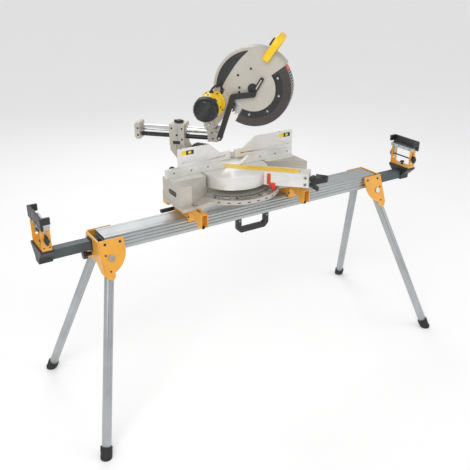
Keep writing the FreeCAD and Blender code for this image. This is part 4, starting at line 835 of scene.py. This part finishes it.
def make_slide_trim():
    """The rear brace's webs, rail end screws, and the hinge bosses with their spring cup."""
    rear = axes_at(arm(0, -448, 150), -FORWARD, LATERAL)
    for turn in (35, -35):
        bar = spun(rear, turn)
        add_slab(bar, rectangle(-34, 34, -2, 2, 1), -0.5, 4, 0.8)
    add_slab(rear, rectangle(-33, 33, 29, 33, 1.5), -0.5, 4, 0.8)
    finish("brace_webs", "casting", "carriage")
    for up in (in_arm(middle("slide_rail"))[2], in_arm(middle("slide_tube"))[2]):
        add_screw(axes_at(arm(-34, -438, up), -LATERAL, FORWARD), 4.4, 3)
        add_screw(axes_at(arm(34, -438, up), LATERAL, FORWARD), 4.4, 3)
        add_screw(axes_at(arm(-30 if up > 150 else -16, -88, up), -LATERAL, FORWARD), 4.0, 2.6)
    finish("slide_screws", "dark_steel", "carriage")
    hinge = left_face(joint_place("chop"))
    add_lathe(hinge, [(8.2, 49.6), (8.2, 56), (12, 57.2), (20, 56.4), (24.6, 53), (26, 49.6)], 40)
    for k in range(6):
        rib = spun(hinge, 60 * k)
        add_slab(rib, rectangle(8.5, 24, -1.6, 1.6, 0.8), 50, 58.4, 0.8)
    finish("spring_cup", "casting", "head")
    for frame_side in (hinge, axes_at(joint_place("chop"), LATERAL, FORWARD)):
        add_lathe(frame_side, [(8, 50), (7.4, 60), (6, 61), (0, 61)], 6)
    finish("hinge_nuts", "zinc", "head")
    pivot = joint_place("guard_link_turn")
    _, link_fwd, link_up = in_arm(pivot)
    for forward, up in ((link_fwd, link_up), (103, 346)):
        spot = axes_at(arm(-62, forward, up), -LATERAL, FORWARD)
        add_screw(spot, 7.4, 3.6)
    finish("link_bolts", "dark_steel", "guard_link")
    _, motor_fwd, motor_up = in_arm(MOTOR)
    _, arbor_fwd, arbor_up = in_arm(ARBOR)
    for forward, up in ((motor_fwd - 24, motor_up + 14), (motor_fwd + 8, motor_up - 28),
                        (arbor_fwd + 24, arbor_up - 18), (arbor_fwd - 4, arbor_up + 29),
                        ((motor_fwd + arbor_fwd) / 2, (motor_up + arbor_up) / 2)):
        add_screw(axes_at(arm(70, forward, up), LATERAL, FORWARD), 4.4, 3)
    finish("belt_cover_screws", "zinc", "head")


# ---- stand ----

SPLAY = math.radians(21.5)
PLATE_TOP, PLATE_OFF, PLATE_THICK = 0.822, 0.066, 0.006


def plate_face(end, along_x, down):
    """A frame on the outer face of a sloping side plate, down its slope from the top, in millimetres."""
    slope = Vector((0, end * math.sin(SPLAY), -math.cos(SPLAY)))
    normal = Vector((0, end * math.cos(SPLAY), math.sin(SPLAY)))
    place = Vector((along_x, end * PLATE_OFF, PLATE_TOP)) + slope * down * MM + normal * PLATE_THICK / 2
    return axes_at(place, normal, X_AXIS)


def add_square_ring(spot, inner, outer, low, high):
    rings = []
    for half, level in ((inner, low), (outer, low), (outer, high), (inner, high)):
        rings.append(add_ring([spot @ Vector((u * half, v * half, level))
                               for u, v in ((-1, -1), (1, -1), (1, 1), (-1, 1))]))
    skin(rings + rings[:1], False)


def make_bracket_trim():
    """Black rivets on the end brackets, and the plastic guide where each tube comes out."""
    for name, side in SIDES.items():
        for end in ENDS.values():
            for x, down, radius in ((748, 15, 5.6), (682, 15, 5.6), (754, 60, 4.2), (746, 128, 4.0)):
                add_rivet(plate_face(end, side * x * MM, down), radius, 3.2)
        finish(f"bracket_rivets_{name}", "dark_steel", "stand")
        centre = middle(f"arm_tube_{name}")
        web_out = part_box(f"end_bracket_{name}")
        place = Vector((web_out[0].x if side < 0 else web_out[1].x, centre.y, centre.z))
        add_square_ring(axes_at(place, X_AXIS * side, Y_AXIS), 21.3, 25.5, -0.5, 3.5)
        finish(f"tube_guide_{name}", "black_plastic", "stand")


def make_support_trim():
    """Rivets, buttons, screws and grip ridges on the two work supports."""
    for name, side in SIDES.items():
        low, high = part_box(f"support_frame_{name}")
        x, y = (low.x + high.x) / 2, (low.y + high.y) / 2
        spot = axes_at(Vector((x, y, low.z + 0.004)), UP, X_AXIS)
        add_lathe(spot, [(5, 0), (5, 9), (10, 11), (11.5, 14), (10, 18), (5, 20), (0, 20.4)], 24)
        finish(f"support_button_{name}", "rubber", f"{name}_arm")
        for end in ENDS.values():
            face = axes_at(Vector((x, low.y if end < 0 else high.y, 0)), Y_AXIS * end, X_AXIS)
            for across, height in ((-0.012, 0.842), (0.012, 0.842)):
                place = face.translation + Vector((across, 0, height))
                add_rivet(axes_at(place, Y_AXIS * end, X_AXIS), 3.0, 1.8)
        finish(f"support_rivets_{name}", "dark_steel", f"{name}_arm")
        bar_low, bar_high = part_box(f"support_bar_{name}")
        inboard = bar_low.x if side > 0 else bar_high.x
        for across in (-58, -20, 20, 58):
            place = Vector((inboard, y + across * MM, bar_high.z - 0.008))
            add_screw(axes_at(place, -X_AXIS * side, Y_AXIS), 3.2, 1.8)
        finish(f"bar_screws_{name}", "dark_steel", f"{name}_work_rest")
        stop_low, stop_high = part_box(f"flip_stop_{name}")
        face_x = (stop_low.x + stop_high.x) / 2 + side * 0.0145
        for k in range(7):
            place = Vector((face_x, (stop_low.y + stop_high.y) / 2 + (k - 3) * 0.020,
                            (bar_high.z + stop_high.z) / 2 + 0.004))
            spot = axes_at(place, -X_AXIS * side, Y_AXIS)
            add_slab(spot, rectangle(-6, 6, -10, 10, 2), -1, 2.2, 0.8)
        finish(f"stop_ridges_{name}", "rubber", f"{name}_stop")


def make_saw_bracket_trim():
    """Rubber pads below each bracket's ends, screws in its sides and ribs on its clamp lever."""
    for name in SIDES:
        low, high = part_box(f"saw_bracket_{name}")
        x = (low.x + high.x) / 2
        for end in ENDS.values():
            spot = axes_at(Vector((x, end * 0.163, 0.826)), -UP, X_AXIS)
            add_lathe(spot, [(11, -1), (11, 2), (9, 6), (7, 8.4), (0, 9)], 24)
        finish(f"bracket_pads_{name}", "rubber", "saw")
        for end in ENDS.values():
            for out in (-1, 1):
                place = Vector((low.x if out < 0 else high.x, end * 0.070, 0.842))
                add_screw(axes_at(place, X_AXIS * out, Y_AXIS), 4.6, 3)
        finish(f"bracket_screws_{name}", "dark_steel", "saw")
        lever_low, lever_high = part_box(f"clamp_lever_{name}")
        for k in range(5):
            along_lever = lever_low.x + 0.010 + 0.009 * k
            spot = Vector((along_lever, (lever_low.y + lever_high.y) / 2, lever_high.z))
            add_slab(axes_at(spot, UP, X_AXIS), rectangle(-2, 2, -6, 6, 1), -1, 0.8, 0.4)
        finish(f"lever_ribs_{name}", "rubber", f"{name}_clamp_lever")


def make_carry_handle_trim():
    """Finger ridges under the handle, and the two screws that hold it on the beam."""
    low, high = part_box("carry_handle")
    centre = (low + high) / 2
    for k in range(7):
        spot = Vector((centre.x + (k - 3) * 0.013, centre.y, low.z))
        add_slab(axes_at(spot, -UP, X_AXIS), rectangle(-3.4, 3.4, -9, 9, 2.5), -1.2, -0.2, 0.4)
    finish("handle_ridges", "rubber", "stand")
    for side in SIDES.values():
        spot = Vector((side * 0.076, low.y, high.z - 0.012))
        add_screw(axes_at(spot, -Y_AXIS, X_AXIS), 4.4, 2.6)
    finish("handle_screws", "zinc", "stand")


def make_leg_trim():
    """Three grip rings round each rubber foot."""
    for end_name, end in ENDS.items():
        for side_name, side in SIDES.items():
            name = f"{end_name}_{side_name}"
            pivot = joint_place(f"{name}_leg_fold")
            low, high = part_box(f"foot_{name}")
            tip = Vector(((low.x + high.x) / 2 + side * 0.004, (low.y + high.y) / 2 + end * 0.004, 0.006))
            down = (tip - pivot).normalized()
            length = (tip - pivot).length / MM
            leg_frame = axes_at(pivot, down, X_AXIS)
            for height in (length - 38, length - 30, length - 22):
                add_lathe(leg_frame, [(23, height - 2), (25.2, height - 1), (25.2, height + 1),
                                      (23, height + 2)], 36)
            finish(f"foot_rings_{name}", "rubber", f"{name}_leg")


# ---- stage, light and camera ----

def make_stage():
    mesh = bpy.data.meshes.new("floor")
    reach = 60
    mesh.from_pydata([(-reach, -reach, 0), (reach, -reach, 0), (reach, reach, 0), (-reach, reach, 0)], [],
                     [(0, 1, 2, 3)])
    floor = bpy.data.objects.new("floor", mesh)
    bpy.context.scene.collection.objects.link(floor)
    graph = Graph("floor")
    tone = graph.blend(graph.spread(graph.noise(1.5), 0, 1), (0.93, 0.93, 0.93, 1), (0.95, 0.95, 0.95, 1))
    mesh.materials.append(graph.out(tone, graph.spread(graph.noise(6), 0.75, 0.85), Emission_Strength=0.16,
                                    Emission_Color=(1.0, 1.0, 1.0, 1.0)))


def area_light(name, place, aim, side, power):
    light = bpy.data.lights.new(name, "AREA")
    light.shape = "SQUARE"
    light.size = side
    light.energy = power
    lamp = bpy.data.objects.new(name, light)
    lamp.location = place
    lamp.rotation_euler = (Vector(aim) - Vector(place)).to_track_quat("-Z", "Y").to_euler()
    bpy.context.scene.collection.objects.link(lamp)


def make_lights():
    world = bpy.data.worlds.new("studio")
    bpy.context.scene.world = world
    world.use_nodes = True
    world.node_tree.nodes["Background"].inputs["Color"].default_value = (1.0, 1.0, 1.0, 1)
    world.node_tree.nodes["Background"].inputs["Strength"].default_value = 0.62
    aim = (0, 0, 0.9)
    area_light("key", (-2.6, -2.4, 3.6), aim, 2.4, 62)
    area_light("fill", (2.9, -2.6, 2.2), aim, 2.6, 20)
    area_light("rim", (0.8, 3.0, 3.2), aim, 2.2, 30)
    bpy.context.scene.view_settings.view_transform = "Standard"


CAMERA_TURN, CAMERA_RISE = 32, 25      # degrees round to the left of the operator, and above the horizon
CAMERA_LENS, CAMERA_AWAY = 49.5, 3.12
CAMERA_AIM = Vector((-0.055, 0.034, 0.64))


def make_camera():
    data = bpy.data.cameras.new("camera")
    data.lens = CAMERA_LENS
    data.sensor_width = 36
    camera = bpy.data.objects.new("camera", data)
    turn, rise = math.radians(CAMERA_TURN), math.radians(CAMERA_RISE)
    out = Vector((-math.sin(turn) * math.cos(rise), -math.cos(turn) * math.cos(rise), math.sin(rise)))
    camera.location = CAMERA_AIM + out * CAMERA_AWAY
    camera.rotation_euler = (-out).to_track_quat("-Z", "Y").to_euler()
    bpy.context.scene.collection.objects.link(camera)
    bpy.context.scene.camera = camera


# ---- build ----

make_camera()
make_stage()
make_lights()
finish_nodes()
make_blade()
make_lower_guard_trim()
make_upper_guard_trim()
make_motor_trim()
make_grip()
make_mitre_scale()
make_base_trim()
make_fence_trim()
make_table_trim()
make_column_trim()
make_slide_trim()
make_bracket_trim()
make_support_trim()
make_saw_bracket_trim()
make_carry_handle_trim()
make_leg_trim()
